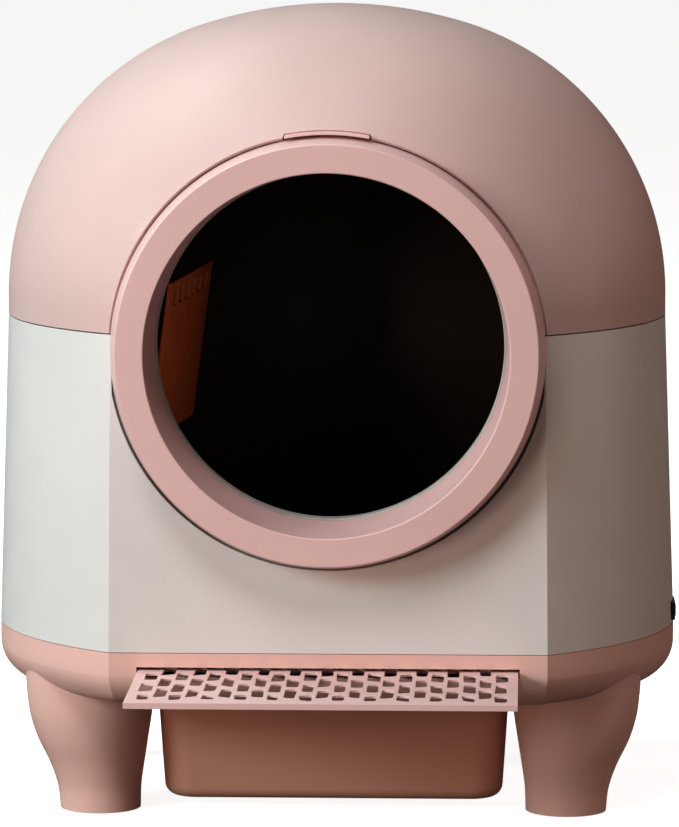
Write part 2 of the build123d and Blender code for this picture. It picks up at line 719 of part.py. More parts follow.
def chute_seal():
    """Soft band round the funnel's mouth."""
    band = chute_form(1.5) - chute_form(-4.0)
    shell = ball(SEAL_OUTER_R) - ball(SEAL_INNER_R)
    return (band & shell) & block(-100, 100, CHUTE_Y - 104, CHUTE_Y + 96, 100, 186)


def bin_form(inset, low_z, high_z):
    """Filled shape of the waste bin, narrower at its floor."""
    spread = (BIN_TOP_HALF - BIN_LOW_HALF) / (BIN_TOP_Z - BIN_FLOOR_Z)
    faces = []
    for z in (low_z, high_z):
        half_x = BIN_LOW_HALF + spread * (z - BIN_FLOOR_Z) - inset
        half_y = BIN_BACK_Y - BIN_MIDDLE_Y - (BIN_TOP_Z - z) * BIN_DRAFT - inset
        section = RectangleRounded(2 * half_x, 2 * half_y, BIN_CORNER_R - inset)
        faces.append(Pos(0, BIN_MIDDLE_Y, z) * section)
    form = loft(faces, ruled=True)
    return fillet(form.faces().sort_by(Axis.Z)[0].edges(), BIN_FLOOR_R - inset)


def waste_bin():
    """Bin with a rung inside each side that hangs on a rail, and a finger slot at the front."""
    room = bin_form(BIN_WALL, BIN_FLOOR_Z + BIN_WALL, BIN_TOP_Z + 1)
    bin_body = bin_form(0, BIN_FLOOR_Z, BIN_TOP_Z) - room
    rung_in, rung_out = RUNG_X
    for side in (-1, 1):
        near, far = sorted((side * rung_in, side * rung_out))
        bin_body += block(near, far, BIN_FRONT_Y + 24, BIN_BACK_Y - 24, *RUNG_Z)
        near, far = sorted((side * (RAIL_WEB_X - 3), side * rung_out))
        bin_body -= block(near, far, BIN_BACK_Y - 24, BIN_BACK_Y + 5, RAIL_LOW_Z - 1.5, 100)
    grip = Pos(0, GRIP_Z) * RectangleRounded(GRIP_WIDTH, GRIP_HEIGHT, GRIP_HEIGHT / 2 - 0.1)
    return bin_body - along_y(grip, BIN_FRONT_Y - 5, BIN_FRONT_Y + 10)


def drawer_rail(side):
    """Hooked rail under the base pan that carries one edge of the bin."""
    web_out = RAIL_WEB_X + RAIL_THICK
    rail = block(RAIL_WEB_X, web_out, *RAIL_Y, RAIL_LOW_Z, PAN_Z)
    rail += block(RAIL_WEB_X, RAIL_FOOT_X, *RAIL_Y, RAIL_LOW_Z, RAIL_LOW_Z + 2.8)
    rail += block(RAIL_WEB_X - 12, web_out, *RAIL_Y, PAN_Z - 2.5, PAN_Z)
    return rail if side > 0 else mirror(rail, Plane.YZ)


def bag_frame():
    """Loop that holds a waste bag open inside the bin."""
    loop = RectangleRounded(*BAG_FRAME_SIZE) - RectangleRounded(*BAG_FRAME_HOLE)
    return extrude(Pos(0, BIN_MIDDLE_Y, BAG_FRAME_Z) * loop, amount=BAG_FRAME_THICK)


# ---------------------------------------------------------------- legs and step

def leg_form(side, sizes, inset):
    """Leg that narrows and leans inwards towards the floor."""
    x, y, slim = sizes
    faces = []
    for z, radius, lean in LEG_STATIONS:
        place = Pos(side * (x + lean), y, z + inset * (z < PAD_THICK))
        faces.append(place * Circle(radius - slim - inset))
    return loft(faces)


def leg(side, sizes):
    """Hollow leg whose top follows the pan's underside."""
    x, y, slim = sizes
    room = leg_form(side, sizes, WALL) & block(-300, 300, -300, 300, *LEG_ROOM_Z)
    shell = leg_form(side, sizes, 0) - room - PAN_SOLID
    shell -= rod_z(PAD_R - slim, 0, PAD_THICK, side * (x + LEG_LEAN), y)
    return shell - rod_z(SCREW_R, 80, 100, side * x, y)


def foot_pads():
    """Rubber discs let into the legs' undersides."""
    return group(
        rod_z(PAD_R - slim, 0, PAD_THICK, side * (x + LEG_LEAN), y)
        for side, x, y, slim in LEG_PLACES
    )


def leg_screws():
    """Screws from the pan down into the legs."""
    return group(
        rod_z(SCREW_R, PAN_Z - 5, PAN_FLOOR_Z, side * x, y)
        + rod_z(SCREW_HEAD_R, PAN_FLOOR_Z, PAN_FLOOR_Z + SCREW_HEAD, side * x, y)
        for side, x, y, _ in LEG_PLACES
    )


def step_plate():
    """Plate with staggered oblong holes and a rim under its edges."""
    length = STEP_BACK_Y - STEP_FRONT_Y
    place = Pos(0, (STEP_FRONT_Y + STEP_BACK_Y) / 2, STEP_LOW_Z)
    outer = RectangleRounded(2 * STEP_HALF, length, STEP_CORNER_R)
    inner = offset(outer, -STEP_THICK)
    plate = extrude(place * outer, amount=STEP_RIM) - extrude(place * inner, amount=STEP_RIM - STEP_THICK)
    holes = []
    for column in range(-STEP_COLUMNS, STEP_COLUMNS + 1):
        y = STEP_FRONT_Y + STEP_FRONT_MARGIN + (HOLE_ROW if column % 2 else 0)
        while y < STEP_BACK_Y - STEP_BACK_MARGIN:
            holes.append(Pos(column * HOLE_PITCH, y) * Rot(0, 0, 90) * SlotOverall(HOLE_LENGTH, HOLE_WIDTH))
            y += 2 * HOLE_ROW
    return plate - extrude(Pos(0, 0, STEP_LOW_Z - 1) * Sketch(children=holes), amount=STEP_RIM + 2)


def step_runner(side):
    """Arm behind the step's plate that slides in its rail."""
    arm = block(RUNNER_IN_X, RUNNER_OUT_X, STEP_BACK_Y, RUNNER_BACK_Y, STEP_LOW_Z, STEP_LOW_Z + RUNNER_THICK)
    return arm if side > 0 else mirror(arm, Plane.YZ)


def step_rail(side):
    """Guide on the pan's floor, open towards the middle."""
    near, far = STEP_RAIL_Y
    rail = block(RUNNER_IN_X - 2, RUNNER_OUT_X + 5, near, far, PAN_FLOOR_Z, STEP_LOW_Z + 8)
    rail -= block(RUNNER_IN_X - 3, RUNNER_OUT_X + 3.2, near - 1, far - 2, STEP_LOW_Z - 0.4, STEP_LOW_Z + 5.4)
    return rail if side > 0 else mirror(rail, Plane.YZ)


# ---------------------------------------------------------------- hinge, button and electrics

def hinge_bracket(side, upper):
    """Leaf with knuckles: two below on the housing, one above on the hood."""
    x = side * HINGE_X
    face_y = SEAM_OUTLINE[2] + 0.1
    half = 1.5 * KNUCKLE
    if upper:
        leaf_z = (SEAM_Z + LEAF_GAP, SEAM_Z + UPPER_LEAF)
        spans = [(x - KNUCKLE / 2, x + KNUCKLE / 2)]
        web_z = (SEAM_Z, SEAM_Z + 7)
        bore = PIN_R + SHAFT_GAP
    else:
        leaf_z = (SEAM_Z - LOWER_LEAF, SEAM_Z - LEAF_GAP)
        inner = KNUCKLE / 2 + KNUCKLE_GAP
        spans = [(x - half, x - inner), (x + inner, x + half)]
        web_z = (SEAM_Z - 7, SEAM_Z)
        bore = PIN_R
    leaf = block(x - half, x + half, face_y, face_y + LEAF_THICK, *leaf_z)
    for near, far in spans:
        leaf += rod_x(HINGE_R, near, far, HINGE_Y, SEAM_Z)
        leaf += block(near, far, face_y, HINGE_Y, *web_z)
    leaf -= rod_x(bore, x - 2 * half, x + 2 * half, HINGE_Y, SEAM_Z)
    return leaf if upper else leaf - housing_form(0)


def hinge_pins():
    """Pin through each hinge's three knuckles."""
    half = 1.5 * KNUCKLE
    return group(rod_x(PIN_R, x - half, x + half, HINGE_Y, SEAM_Z) for x in (-HINGE_X, HINGE_X))


def outer_edges(shape):
    """Edges of the face that looks to +X."""
    return shape.faces().sort_by(Axis.X)[-1].edges()


def side_button():
    """Push cap with a flange behind the bezel."""
    flange_x = BEZEL_BACK_X - 0.4
    cap = button_block(flange_x, BUTTON_FACE_X, BUTTON_HALF)
    return fillet(outer_edges(cap), 1.0) + button_block(flange_x - 2, flange_x, BUTTON_FLANGE_HALF)


def button_bezel():
    """Frame round the button, let into the housing's wall."""
    frame = button_block(BEZEL_BACK_X, BEZEL_FACE_X, BEZEL_HALF)
    return fillet(outer_edges(frame), 0.8) - button_block(250, 270, BEZEL_HOLE_HALF)


def button_switch():
    """Switch behind the button, on a post."""
    near, far = SWITCH_X
    body = button_block(near, far, (6.0, 6.0))
    post = block(near - 6, near, BUTTON_Y - 10, BUTTON_Y + 10, BUTTON_Z - 17, BUTTON_Z + 8)
    return body + post + rod_x(2.0, far, far + 2, BUTTON_Y, BUTTON_Z)


def power_inlet():
    """Low-voltage socket with a centre pin."""
    face_y = BASE_OUTLINE[2]
    out_y = face_y + INLET_FLANGE
    inlet = rod_y(INLET_R, face_y - INLET_DEPTH, out_y, INLET_X, INLET_Z)
    inlet += rod_y(INLET_R + 2, face_y, out_y, INLET_X, INLET_Z)
    inlet -= rod_y(JACK_R, face_y - JACK_DEPTH, out_y + 1, INLET_X, INLET_Z)
    return inlet + rod_y(JACK_PIN_R, face_y - JACK_DEPTH - 1, face_y - 0.5, INLET_X, INLET_Z)


def board_posts():
    """Four posts under the board's corners."""
    x0, x1, y0, y1 = BOARD
    xs = (x0 + BOARD_INSET, x1 - BOARD_INSET)
    ys = (y0 + BOARD_INSET, y1 - BOARD_INSET)
    return group(rod_z(POST_R, PAN_FLOOR_Z, BOARD_Z, x, y) for x in xs for y in ys)


def control_board():
    """Board with a chip, a connector, a relay and a capacitor."""
    x0, x1, y0, y1 = BOARD
    top = BOARD_Z + BOARD_THICK
    board = block(x0, x1, y0, y1, BOARD_Z, top)
    chip = block(x0 + 34, x0 + 48, y0 + 16, y0 + 30, top, top + 2)
    relay = block(x0 + 62, x0 + 80, y0 + 10, y0 + 22, top, top + 12)
    connector = block(x0 + 14, x0 + 26, y1 - 14, y1 - 4, top, top + 8)
    capacitor = rod_z(5, top, top + 14, x0 + 70, y1 - 16)
    return board + chip + relay + connector + capacitor


def build():
    """Every node by name."""
    front_y, rear_y = DRUM_Y - TRACK_OFFSET, DRUM_Y + TRACK_OFFSET
    nodes = {
        "base_pan": base_pan(), "housing": housing(), "hood": hood(), "hood_latch": latch_form(0),
        "entry_ring": entry_ring(), "ring_carrier": ring_carrier(),
        "ring_screws": screws_y(RING_BOSS_R, RING_BOSS_ANGLES, RING_SCREW_BITE),
        "carrier_screws": screws_y(CARRIER_SCREW_R, CARRIER_SCREW_ANGLES, 0.0),
        "drum_shell_front": drum_shell(True), "drum_shell_rear": drum_shell(False),
        "clamp_band": clamp_band(), "port_frame": port_frame(), "drum_lip": drum_lip(),
        "litter_liner": litter_liner(), "sieve_screen": sieve_screen(), "drum_gear": drum_gear(),
        "roller_track_front": drum_collar(TRACK_R, TRACK_HALF, front_y),
        "roller_track_rear": drum_collar(TRACK_R, TRACK_HALF, rear_y),
        "drum_hub": drum_hub(), "rear_spindle": rear_spindle(),
        "drive_pinion": drive_pinion(), "drive_motor": drive_motor(), "motor_bracket": motor_bracket(),
        "motor_screws": motor_screws(), "roller_axles": roller_axles(),
        "cradle_front": cradle(front_y, -1), "cradle_rear": cradle(rear_y, 1),
        "cradle_screws": cradle_screws(), "waste_chute": waste_chute(), "chute_seal": chute_seal(),
        "waste_bin": waste_bin(), "bag_frame": bag_frame(), "leg_screws": leg_screws(),
        "foot_pads": foot_pads(),
        "step_plate": step_plate(), "hinge_pins": hinge_pins(), "side_button": side_button(),
        "button_bezel": button_bezel(), "button_switch": button_switch(),
        "power_inlet": power_inlet(), "control_board": control_board(), "board_posts": board_posts(),
    }
    for name, side, y, _ in roller_places():
        nodes[name] = roller(side, y)
    for side_name, side in (("left", -1), ("right", 1)):
        nodes[f"leg_front_{side_name}"] = leg(side, FRONT_LEG)
        nodes[f"leg_rear_{side_name}"] = leg(side, REAR_LEG)
        nodes[f"drawer_rail_{side_name}"] = drawer_rail(side)
        nodes[f"step_rail_{side_name}"] = step_rail(side)
        nodes[f"step_runner_{side_name}"] = step_runner(side)
    nodes["hinge_brackets"] = group(hinge_bracket(side, False) for side in (-1, 1))
    nodes["hood_hinges"] = group(hinge_bracket(side, True) for side in (-1, 1))
    nodes["ring_sensors"] = group(sensor_form(side) for side in (-1, 1))
    return nodes


os.makedirs("parts", exist_ok=True)
for node, shape in build().items():
    export_step(shape, f"parts/{node}.step")
    print(node, round(shape.volume))
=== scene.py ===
import json
import logging
import math
import random
from dataclasses import dataclass, field
from enum import Enum
from typing import Callable, Sequence

import bmesh
import bpy
from mathutils import Matrix, Vector
from mathutils.bvhtree import BVHTree


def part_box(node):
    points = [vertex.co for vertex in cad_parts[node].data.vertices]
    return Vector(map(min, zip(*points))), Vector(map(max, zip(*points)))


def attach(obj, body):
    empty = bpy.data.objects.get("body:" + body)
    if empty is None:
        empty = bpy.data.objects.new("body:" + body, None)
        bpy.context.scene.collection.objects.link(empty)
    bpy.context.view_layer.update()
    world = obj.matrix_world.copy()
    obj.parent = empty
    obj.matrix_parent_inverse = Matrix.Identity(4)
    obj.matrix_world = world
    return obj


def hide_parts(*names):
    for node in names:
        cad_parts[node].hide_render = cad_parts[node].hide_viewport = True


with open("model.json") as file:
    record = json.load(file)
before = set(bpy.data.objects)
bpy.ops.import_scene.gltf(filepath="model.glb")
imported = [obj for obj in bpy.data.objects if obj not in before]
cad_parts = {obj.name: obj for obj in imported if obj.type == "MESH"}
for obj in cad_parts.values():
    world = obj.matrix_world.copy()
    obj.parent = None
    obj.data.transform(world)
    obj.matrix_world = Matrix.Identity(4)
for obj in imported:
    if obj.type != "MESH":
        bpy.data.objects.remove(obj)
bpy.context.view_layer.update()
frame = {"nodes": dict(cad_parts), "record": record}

LOG = logging.getLogger("litter_box")
MM = 0.001
WELD = 1e-6                     # verts and lines closer than this, in metres, are the same
Triple = tuple[float, float, float]
Colour = Triple
Place = Callable[[float, float], Vector]


# ---------------------------------------------------------------- materials


class Surface(Enum):
    """Kinds of surface, by how the light leaves them."""

    PLASTIC = "plastic"
    RUBBER = "rubber"
    METAL = "metal"


def linear(colour: Colour) -> tuple[float, float, float, float]:
    """Turns a display colour into the linear one that shaders take.

    Args:
        colour: red, green and blue from 0 to 1, as a screen shows them.

    Returns:
        The linear colour with an alpha of 1.
    """
    straight = [c / 12.92 if c <= 0.04045 else ((c + 0.055) / 1.055) ** 2.4 for c in colour]
    return (straight[0], straight[1], straight[2], 1.0)


class Graph:
    """A material's node tree, with short calls to add and join nodes."""

    def __init__(self, name: str) -> None:
        """Starts an empty material of that name."""
        self.material = bpy.data.materials.new(name)
        self.material.use_nodes = True
        self.tree = self.material.node_tree
        self.tree.nodes.clear()
        self.coords = self.add("ShaderNodeTexCoord").outputs["Object"]

    def add(self, kind: str, **settings: object) -> bpy.types.Node:
        """Adds a node and sets its properties."""
        node = self.tree.nodes.new(kind)
        for key, value in settings.items():
            setattr(node, key, value)
        return node

    def join(self, start: bpy.types.NodeSocket, end: bpy.types.NodeSocket) -> None:
        """Links an output to an input."""
        self.tree.links.new(start, end)

    def noise(self, scale: float, detail: float, stretch: Triple = (1.0, 1.0, 1.0)) -> bpy.types.NodeSocket:
        """Adds a noise pattern fixed to the piece.

        Args:
            scale: cycles per metre.
            detail: octaves of finer noise.
            stretch: how much finer the pattern is along each axis.

        Returns:
            The pattern's value output.
        """
        mapping = self.add("ShaderNodeMapping")
        mapping.inputs["Scale"].default_value = stretch
        self.join(self.coords, mapping.inputs["Vector"])
        node = self.add("ShaderNodeTexNoise")
        node.inputs["Scale"].default_value = scale
        node.inputs["Detail"].default_value = detail
        self.join(mapping.outputs["Vector"], node.inputs["Vector"])
        return node.outputs["Fac"]

    def spread(self, value: bpy.types.NodeSocket, low: float, high: float) -> bpy.types.NodeSocket:
        """Maps a pattern's middle range to low and high."""
        node = self.add("ShaderNodeMapRange")
        node.inputs["From Min"].default_value = 0.3
        node.inputs["From Max"].default_value = 0.7
        node.inputs["To Min"].default_value = low
        node.inputs["To Max"].default_value = high
        self.join(value, node.inputs["Value"])
        return node.outputs["Result"]

    def mix(
        self, amount: bpy.types.NodeSocket, first: object, second: object
    ) -> bpy.types.NodeSocket:
        """Mixes two colours by a pattern.

        Args:
            amount: the pattern, 0 for the first colour and 1 for the second.
            first: a colour or an output.
            second: a colour or an output.

        Returns:
            The mixed colour.
        """
        node = self.add("ShaderNodeMix", data_type="RGBA")
        self.join(amount, node.inputs[0])
        for socket, value in ((node.inputs[6], first), (node.inputs[7], second)):
            if isinstance(value, bpy.types.NodeSocket):
                self.join(value, socket)
            else:
                socket.default_value = value
        return node.outputs[2]


@dataclass(frozen=True)
class Finish:
    """How one material of the litter box looks."""

    slot: str
    colour: Colour
    surface: Surface = Surface.PLASTIC
    specular: float = 0.5
    roughness: float = 0.42
    grain: float = 1500.0
    grain_depth: float = 0.00006
    mottle: float = 0.03
    dust: float = 0.03
    wear: float = 0.06
    streaks: bool = False
    dust_lift: float = 1.35
    wear_lift: float = 1.7

    def shade(self, factor: float) -> tuple[float, float, float, float]:
        """The colour made lighter or darker by a factor."""
        red, green, blue, alpha = linear(self.colour)
        return (min(red * factor, 1), min(green * factor, 1), min(blue * factor, 1), alpha)

    def build(self) -> bpy.types.Material:
        """Makes the material.

        Returns:
            A procedural material with mottling, scuffed edges, uneven gloss and a moulded grain.
        """
        graph = Graph(self.slot)
        stretch = (1.0, 1.0, 14.0) if self.streaks else (1.0, 1.0, 1.0)
        cloud = graph.spread(graph.noise(9.0, 3.0), 0.0, 1.0)
        speck = graph.spread(graph.noise(260.0, 2.0, stretch), 0.0, 1.0)
        tone = graph.mix(cloud, self.shade(1.0 - self.mottle), self.shade(1.0 + self.mottle))
        fleck = graph.add("ShaderNodeMath", operation="MULTIPLY")
        fleck.inputs[1].default_value = self.dust
        graph.join(speck, fleck.inputs[0])
        tone = graph.mix(fleck.outputs[0], tone, self.shade(self.dust_lift))
        edge = graph.add("ShaderNodeMapRange")
        edge.inputs["From Min"].default_value = 0.53
        edge.inputs["From Max"].default_value = 0.62
        edge.inputs["To Max"].default_value = self.wear
        graph.join(graph.add("ShaderNodeNewGeometry").outputs["Pointiness"], edge.inputs["Value"])
        tone = graph.mix(edge.outputs["Result"], tone, self.shade(self.wear_lift))

        shader = graph.add("ShaderNodeBsdfPrincipled")
        graph.join(tone, shader.inputs["Base Color"])
        gloss = graph.spread(graph.noise(38.0, 4.0, stretch), self.roughness - 0.05, self.roughness + 0.06)
        graph.join(gloss, shader.inputs["Roughness"])
        shader.inputs["Metallic"].default_value = 1.0 if self.surface is Surface.METAL else 0.0
        shader.inputs["Specular IOR Level"].default_value = self.specular
        bump = graph.add("ShaderNodeBump")
        bump.inputs["Strength"].default_value = 0.5
        bump.inputs["Distance"].default_value = self.grain_depth
        graph.join(graph.noise(self.grain, 2.0, stretch), bump.inputs["Height"])
        graph.join(bump.outputs["Normal"], shader.inputs["Normal"])
        output = graph.add("ShaderNodeOutputMaterial")
        graph.join(shader.outputs["BSDF"], output.inputs["Surface"])
        return graph.material


FINISHES: tuple[Finish, ...] = (
    Finish("shell_pink", (0.800, 0.675, 0.660), specular=0.22, roughness=0.50),
    Finish("trim_pink", (0.875, 0.710, 0.700), specular=0.60, roughness=0.42),
    Finish("base_pink", (0.885, 0.700, 0.660), specular=0.30, roughness=0.45),
    # bin_pink is a darker, browner copy of the base pink: painted shade that stands in for the shadow which
    # the step plate and pan cast on the bin
    Finish("bin_pink", (0.775, 0.555, 0.480), specular=0.30, roughness=0.45),
    Finish("housing_white", (0.850, 0.825, 0.815), specular=0.80, roughness=0.42),
    Finish("drum_dark", (0.145, 0.120, 0.095), roughness=0.50),
    Finish("lip_grey", (0.700, 0.680, 0.665), roughness=0.35),
    Finish("sieve_orange", (0.800, 0.400, 0.215), roughness=0.40),
    Finish("liner_rubber", (0.120, 0.105, 0.090), Surface.RUBBER, 0.3, roughness=0.65, grain=900.0),
    Finish("foot_rubber", (0.130, 0.095, 0.085), Surface.RUBBER, 0.3, roughness=0.70, grain=900.0),
    Finish("frame_grey", (0.500, 0.500, 0.505), roughness=0.48),
    Finish("gear_white", (0.900, 0.890, 0.850), roughness=0.33),
    Finish("steel", (0.740, 0.740, 0.745), Surface.METAL, roughness=0.32, streaks=True),
    Finish("button_black", (0.130, 0.125, 0.125), roughness=0.34),
    Finish("board_green", (0.100, 0.380, 0.220), roughness=0.30, wear=0.2),
    Finish("lens_dark", (0.260, 0.130, 0.100), roughness=0.15, grain_depth=0.00001),
)


class Paintbox:
    """Makes each finish once and hands it out by slot."""

    def __init__(self, finishes: Sequence[Finish]) -> None:
        """Builds the materials."""
        self.materials = {finish.slot: finish.build() for finish in finishes}
        record = frame["record"]["subparts"]
        self.slot_of = {part["node"]: part["material_slot"] for part in record}

    def paint(self, piece: bpy.types.Object, slot: str) -> None:
        """Gives a piece one finish all over."""
        piece.data.materials.clear()
        piece.data.materials.append(self.materials[slot])

    def paint_node(self, node: str) -> None:
        """Gives a CAD node the finish that the record names."""
        piece = frame["nodes"][node]
        material = self.materials[self.slot_of[node]]
        if not piece.data.materials:
            piece.data.materials.append(material)
        for slot in piece.material_slots:
            slot.material = material


# ---------------------------------------------------------------- mesh helpers


def mapped_grid(columns: Sequence[float], rows: Sequence[float], place: Place) -> bmesh.types.BMesh:
    """Makes a sheet of quads and lays it on a surface.

    Args:
        columns: the surface's first coordinate at each line of the sheet.
        rows: its second coordinate at each line across.
        place: gives the point for a column and a row.

    Returns:
        The sheet, with lines that meet merged.
    """
    bm = bmesh.new()
    last_column, last_row = len(columns) - 1, len(rows) - 1
    bmesh.ops.create_grid(bm, x_segments=last_column, y_segments=last_row, size=0.5)
    for vert in bm.verts:
        column = columns[round((vert.co.x + 0.5) * last_column)]
        row = rows[round((vert.co.y + 0.5) * last_row)]
        vert.co = place(column, row)
    bmesh.ops.remove_doubles(bm, verts=bm.verts, dist=WELD)
    return bm


def spun(
    profile: Sequence[tuple[float, float]], centre: Vector, axis: Vector, steps: int
) -> bmesh.types.BMesh:
    """Turns a closed outline into a solid of revolution about an axis along Y or Z.

    Args:
        profile: points of radius and distance along the axis, in order round the outline.
        centre: a point on the axis.
        axis: the axis' direction.
        steps: pieces in a full turn.

    Returns:
        The closed solid.
    """
    bm = bmesh.new()
    verts = [bm.verts.new(centre + Vector((radius, 0, 0)) + axis * along) for radius, along in profile]
    edges = [bm.edges.new((verts[i - 1], verts[i])) for i in range(len(verts))]
    bmesh.ops.spin(
        bm, geom=verts + edges, cent=centre, axis=axis, dvec=(0, 0, 0), angle=math.tau,
        steps=steps, use_merge=True, use_duplicate=False,
    )
    bmesh.ops.remove_doubles(bm, verts=bm.verts, dist=WELD)
    bmesh.ops.recalc_face_normals(bm, faces=bm.faces)
    return bm


def face_outwards(bm: bmesh.types.BMesh, centre: Vector) -> None:
    """Turns an open sheet's faces away from a point inside it."""
    bmesh.ops.recalc_face_normals(bm, faces=bm.faces)
    score = sum((f.calc_center_median() - centre).dot(f.normal) * f.calc_area() for f in bm.faces)
    if score < 0:
        bmesh.ops.reverse_faces(bm, faces=bm.faces)


def merged_copy(node: str) -> bmesh.types.BMesh:
    """A CAD node's mesh with its loose triangles joined and its flat faces whole."""
    bm = bmesh.new()
    bm.from_mesh(frame["nodes"][node].data)
    bmesh.ops.remove_doubles(bm, verts=bm.verts, dist=WELD)
    bmesh.ops.dissolve_limit(bm, angle_limit=math.radians(0.6), verts=bm.verts, edges=bm.edges)
    bmesh.ops.recalc_face_normals(bm, faces=bm.faces)
    return bm


def smooth_steps(count: int, low: float = 0.0, high: float = 1.0) -> list[float]:
    """Evenly spaced values from low to high, both included."""
    return [low + (high - low) * i / (count - 1) for i in range(count)]


@dataclass
class Edges:
    """How a piece's edges are rounded and how thick its wall is."""

    round: float = 0.0
    segments: int = 3
    limit: float = 30.0
    wall: float = 0.0


class Shop:
    """Turns finished bmeshes into pieces of the litter box."""

    def __init__(self, paints: Paintbox) -> None:
        """Remembers the paints."""
        self.paints = paints
        self.made: list[bpy.types.Object] = []

    def piece(
        self,
        bm: bmesh.types.BMesh,
        name: str,
        nodes: Sequence[str],
        edges: Edges = Edges(),
        smooth: float = 32.0,
    ) -> bpy.types.Object:
        """Makes an object from a bmesh, dresses it and puts it on its body.

        Args:
            bm: the mesh, in the row frame. It is freed.
            name: the piece's name.
            nodes: the CAD nodes that it stands for, all on one body.
            edges: its wall and edge rounding.
            smooth: the angle in degrees past which an edge looks sharp.

        Returns:
            The piece.
        """
        mesh = bpy.data.meshes.new(name)
        bm.to_mesh(mesh)
        bm.free()
        mesh.shade_smooth()
        mesh.set_sharp_from_angle(angle=math.radians(smooth))
        piece = bpy.data.objects.new(name, mesh)
        bpy.context.scene.collection.objects.link(piece)
        if edges.wall:
            wall = piece.modifiers.new("wall", "SOLIDIFY")
            wall.thickness = edges.wall
            wall.offset = -1.0
            wall.use_even_offset = True
        if edges.round:
            bevel = piece.modifiers.new("rounding", "BEVEL")
            bevel.width = edges.round
            bevel.segments = edges.segments
            bevel.limit_method = "ANGLE"
            bevel.angle_limit = math.radians(edges.limit)
            bevel.harden_normals = True
        slot = self.paints.slot_of[nodes[0]]
        self.paints.paint(piece, slot)
        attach(piece, body_of(nodes[0]))
        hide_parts(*nodes)
        self.made.append(piece)
        LOG.info("%s stands for %s", name, ", ".join(nodes))
        return piece


def body_of(node: str) -> str:
    """The body that a CAD node moves with."""
    bodies = frame["record"]["behaviour"]["bodies"]
    return next(body for body, nodes in bodies.items() if node in nodes)


# ---------------------------------------------------------------- body


@dataclass
class Plan:
    """The body's outline seen from above: a front flat, two half ellipses and a rear flat."""

    half: float
    front_y: float
    rear_y: float
    wide_y: float = 20 * MM
    front_semi: float = 233 * MM
    rear_semi: float = 301 * MM

    def inset(self, amount: float) -> "Plan":
        """The same outline moved inwards."""
        return Plan(
            self.half - amount, self.front_y + amount, self.rear_y - amount,
            self.wide_y, self.front_semi - amount, self.rear_semi - amount,
        )

    def between(self, other: "Plan", share: float) -> "Plan":
        """An outline part of the way to another."""
        def mix(first: float, second: float) -> float:
            """A value that share of the way."""
            return first + (second - first) * share

        return Plan(
            mix(self.half, other.half), mix(self.front_y, other.front_y), mix(self.rear_y, other.rear_y),
            mix(self.wide_y, other.wide_y), mix(self.front_semi, other.front_semi),
            mix(self.rear_semi, other.rear_semi),
        )

    @property
    def front_angle(self) -> float:
        """Ellipse angle at the front flat's corner."""
        return math.asin((self.wide_y - self.front_y) / self.front_semi)

    @property
    def rear_angle(self) -> float:
        """Ellipse angle at the rear flat's corner."""
        return math.asin((self.rear_y - self.wide_y) / self.rear_semi)

    def point(self, u: float) -> tuple[float, float]:
        """A point of the outline.

        Args:
            u: 0 to 1 on the front flat from left to right, 1 to 2 and 2 to 3 on the right side, 3 to 4
                on the rear flat, 4 to 5 and 5 to 6 on the left side.

        Returns:
            X and Y.
        """
        side, share = min(int(u), 5), u - min(int(u), 5)
        if side == 0:
            return self.half * math.cos(self.front_angle) * math.sin((share - 0.5) * math.pi), self.front_y
        if side == 3:
            return self.half * math.cos(self.rear_angle) * (1 - 2 * share), self.rear_y
        angles = {
            1: -self.front_angle * (1 - share),
            2: self.rear_angle * share,
            4: self.rear_angle * (1 - share),
            5: -self.front_angle * share,
        }
        sign = 1 if side < 3 else -1
        angle = angles[side]
        semi = self.front_semi if angle < 0 else self.rear_semi
        return sign * self.half * math.cos(angle), self.wide_y + semi * math.sin(angle)

    def right_share(self, y: float) -> float:
        """The outline's coordinate on the right side, in front of the widest place, at a Y."""
        return 2 - math.asin((self.wide_y - y) / self.front_semi) / self.front_angle


PLAN_STEPS = (72, 30, 40, 10, 40, 30)
BASE_PLAN = Plan(260 * MM, -162 * MM, 287 * MM)
SEAM_PLAN = Plan(252 * MM, -160 * MM, 285 * MM)
Y_AXIS = Vector((0, 1, 0))


def plan_columns(steps: Sequence[int] = PLAN_STEPS) -> list[float]:
    """Coordinates round the whole outline, closed at both ends."""
    columns: list[float] = []
    for side, count in enumerate(steps):
        columns += [side + i / count for i in range(count)]
    return columns + [6.0]


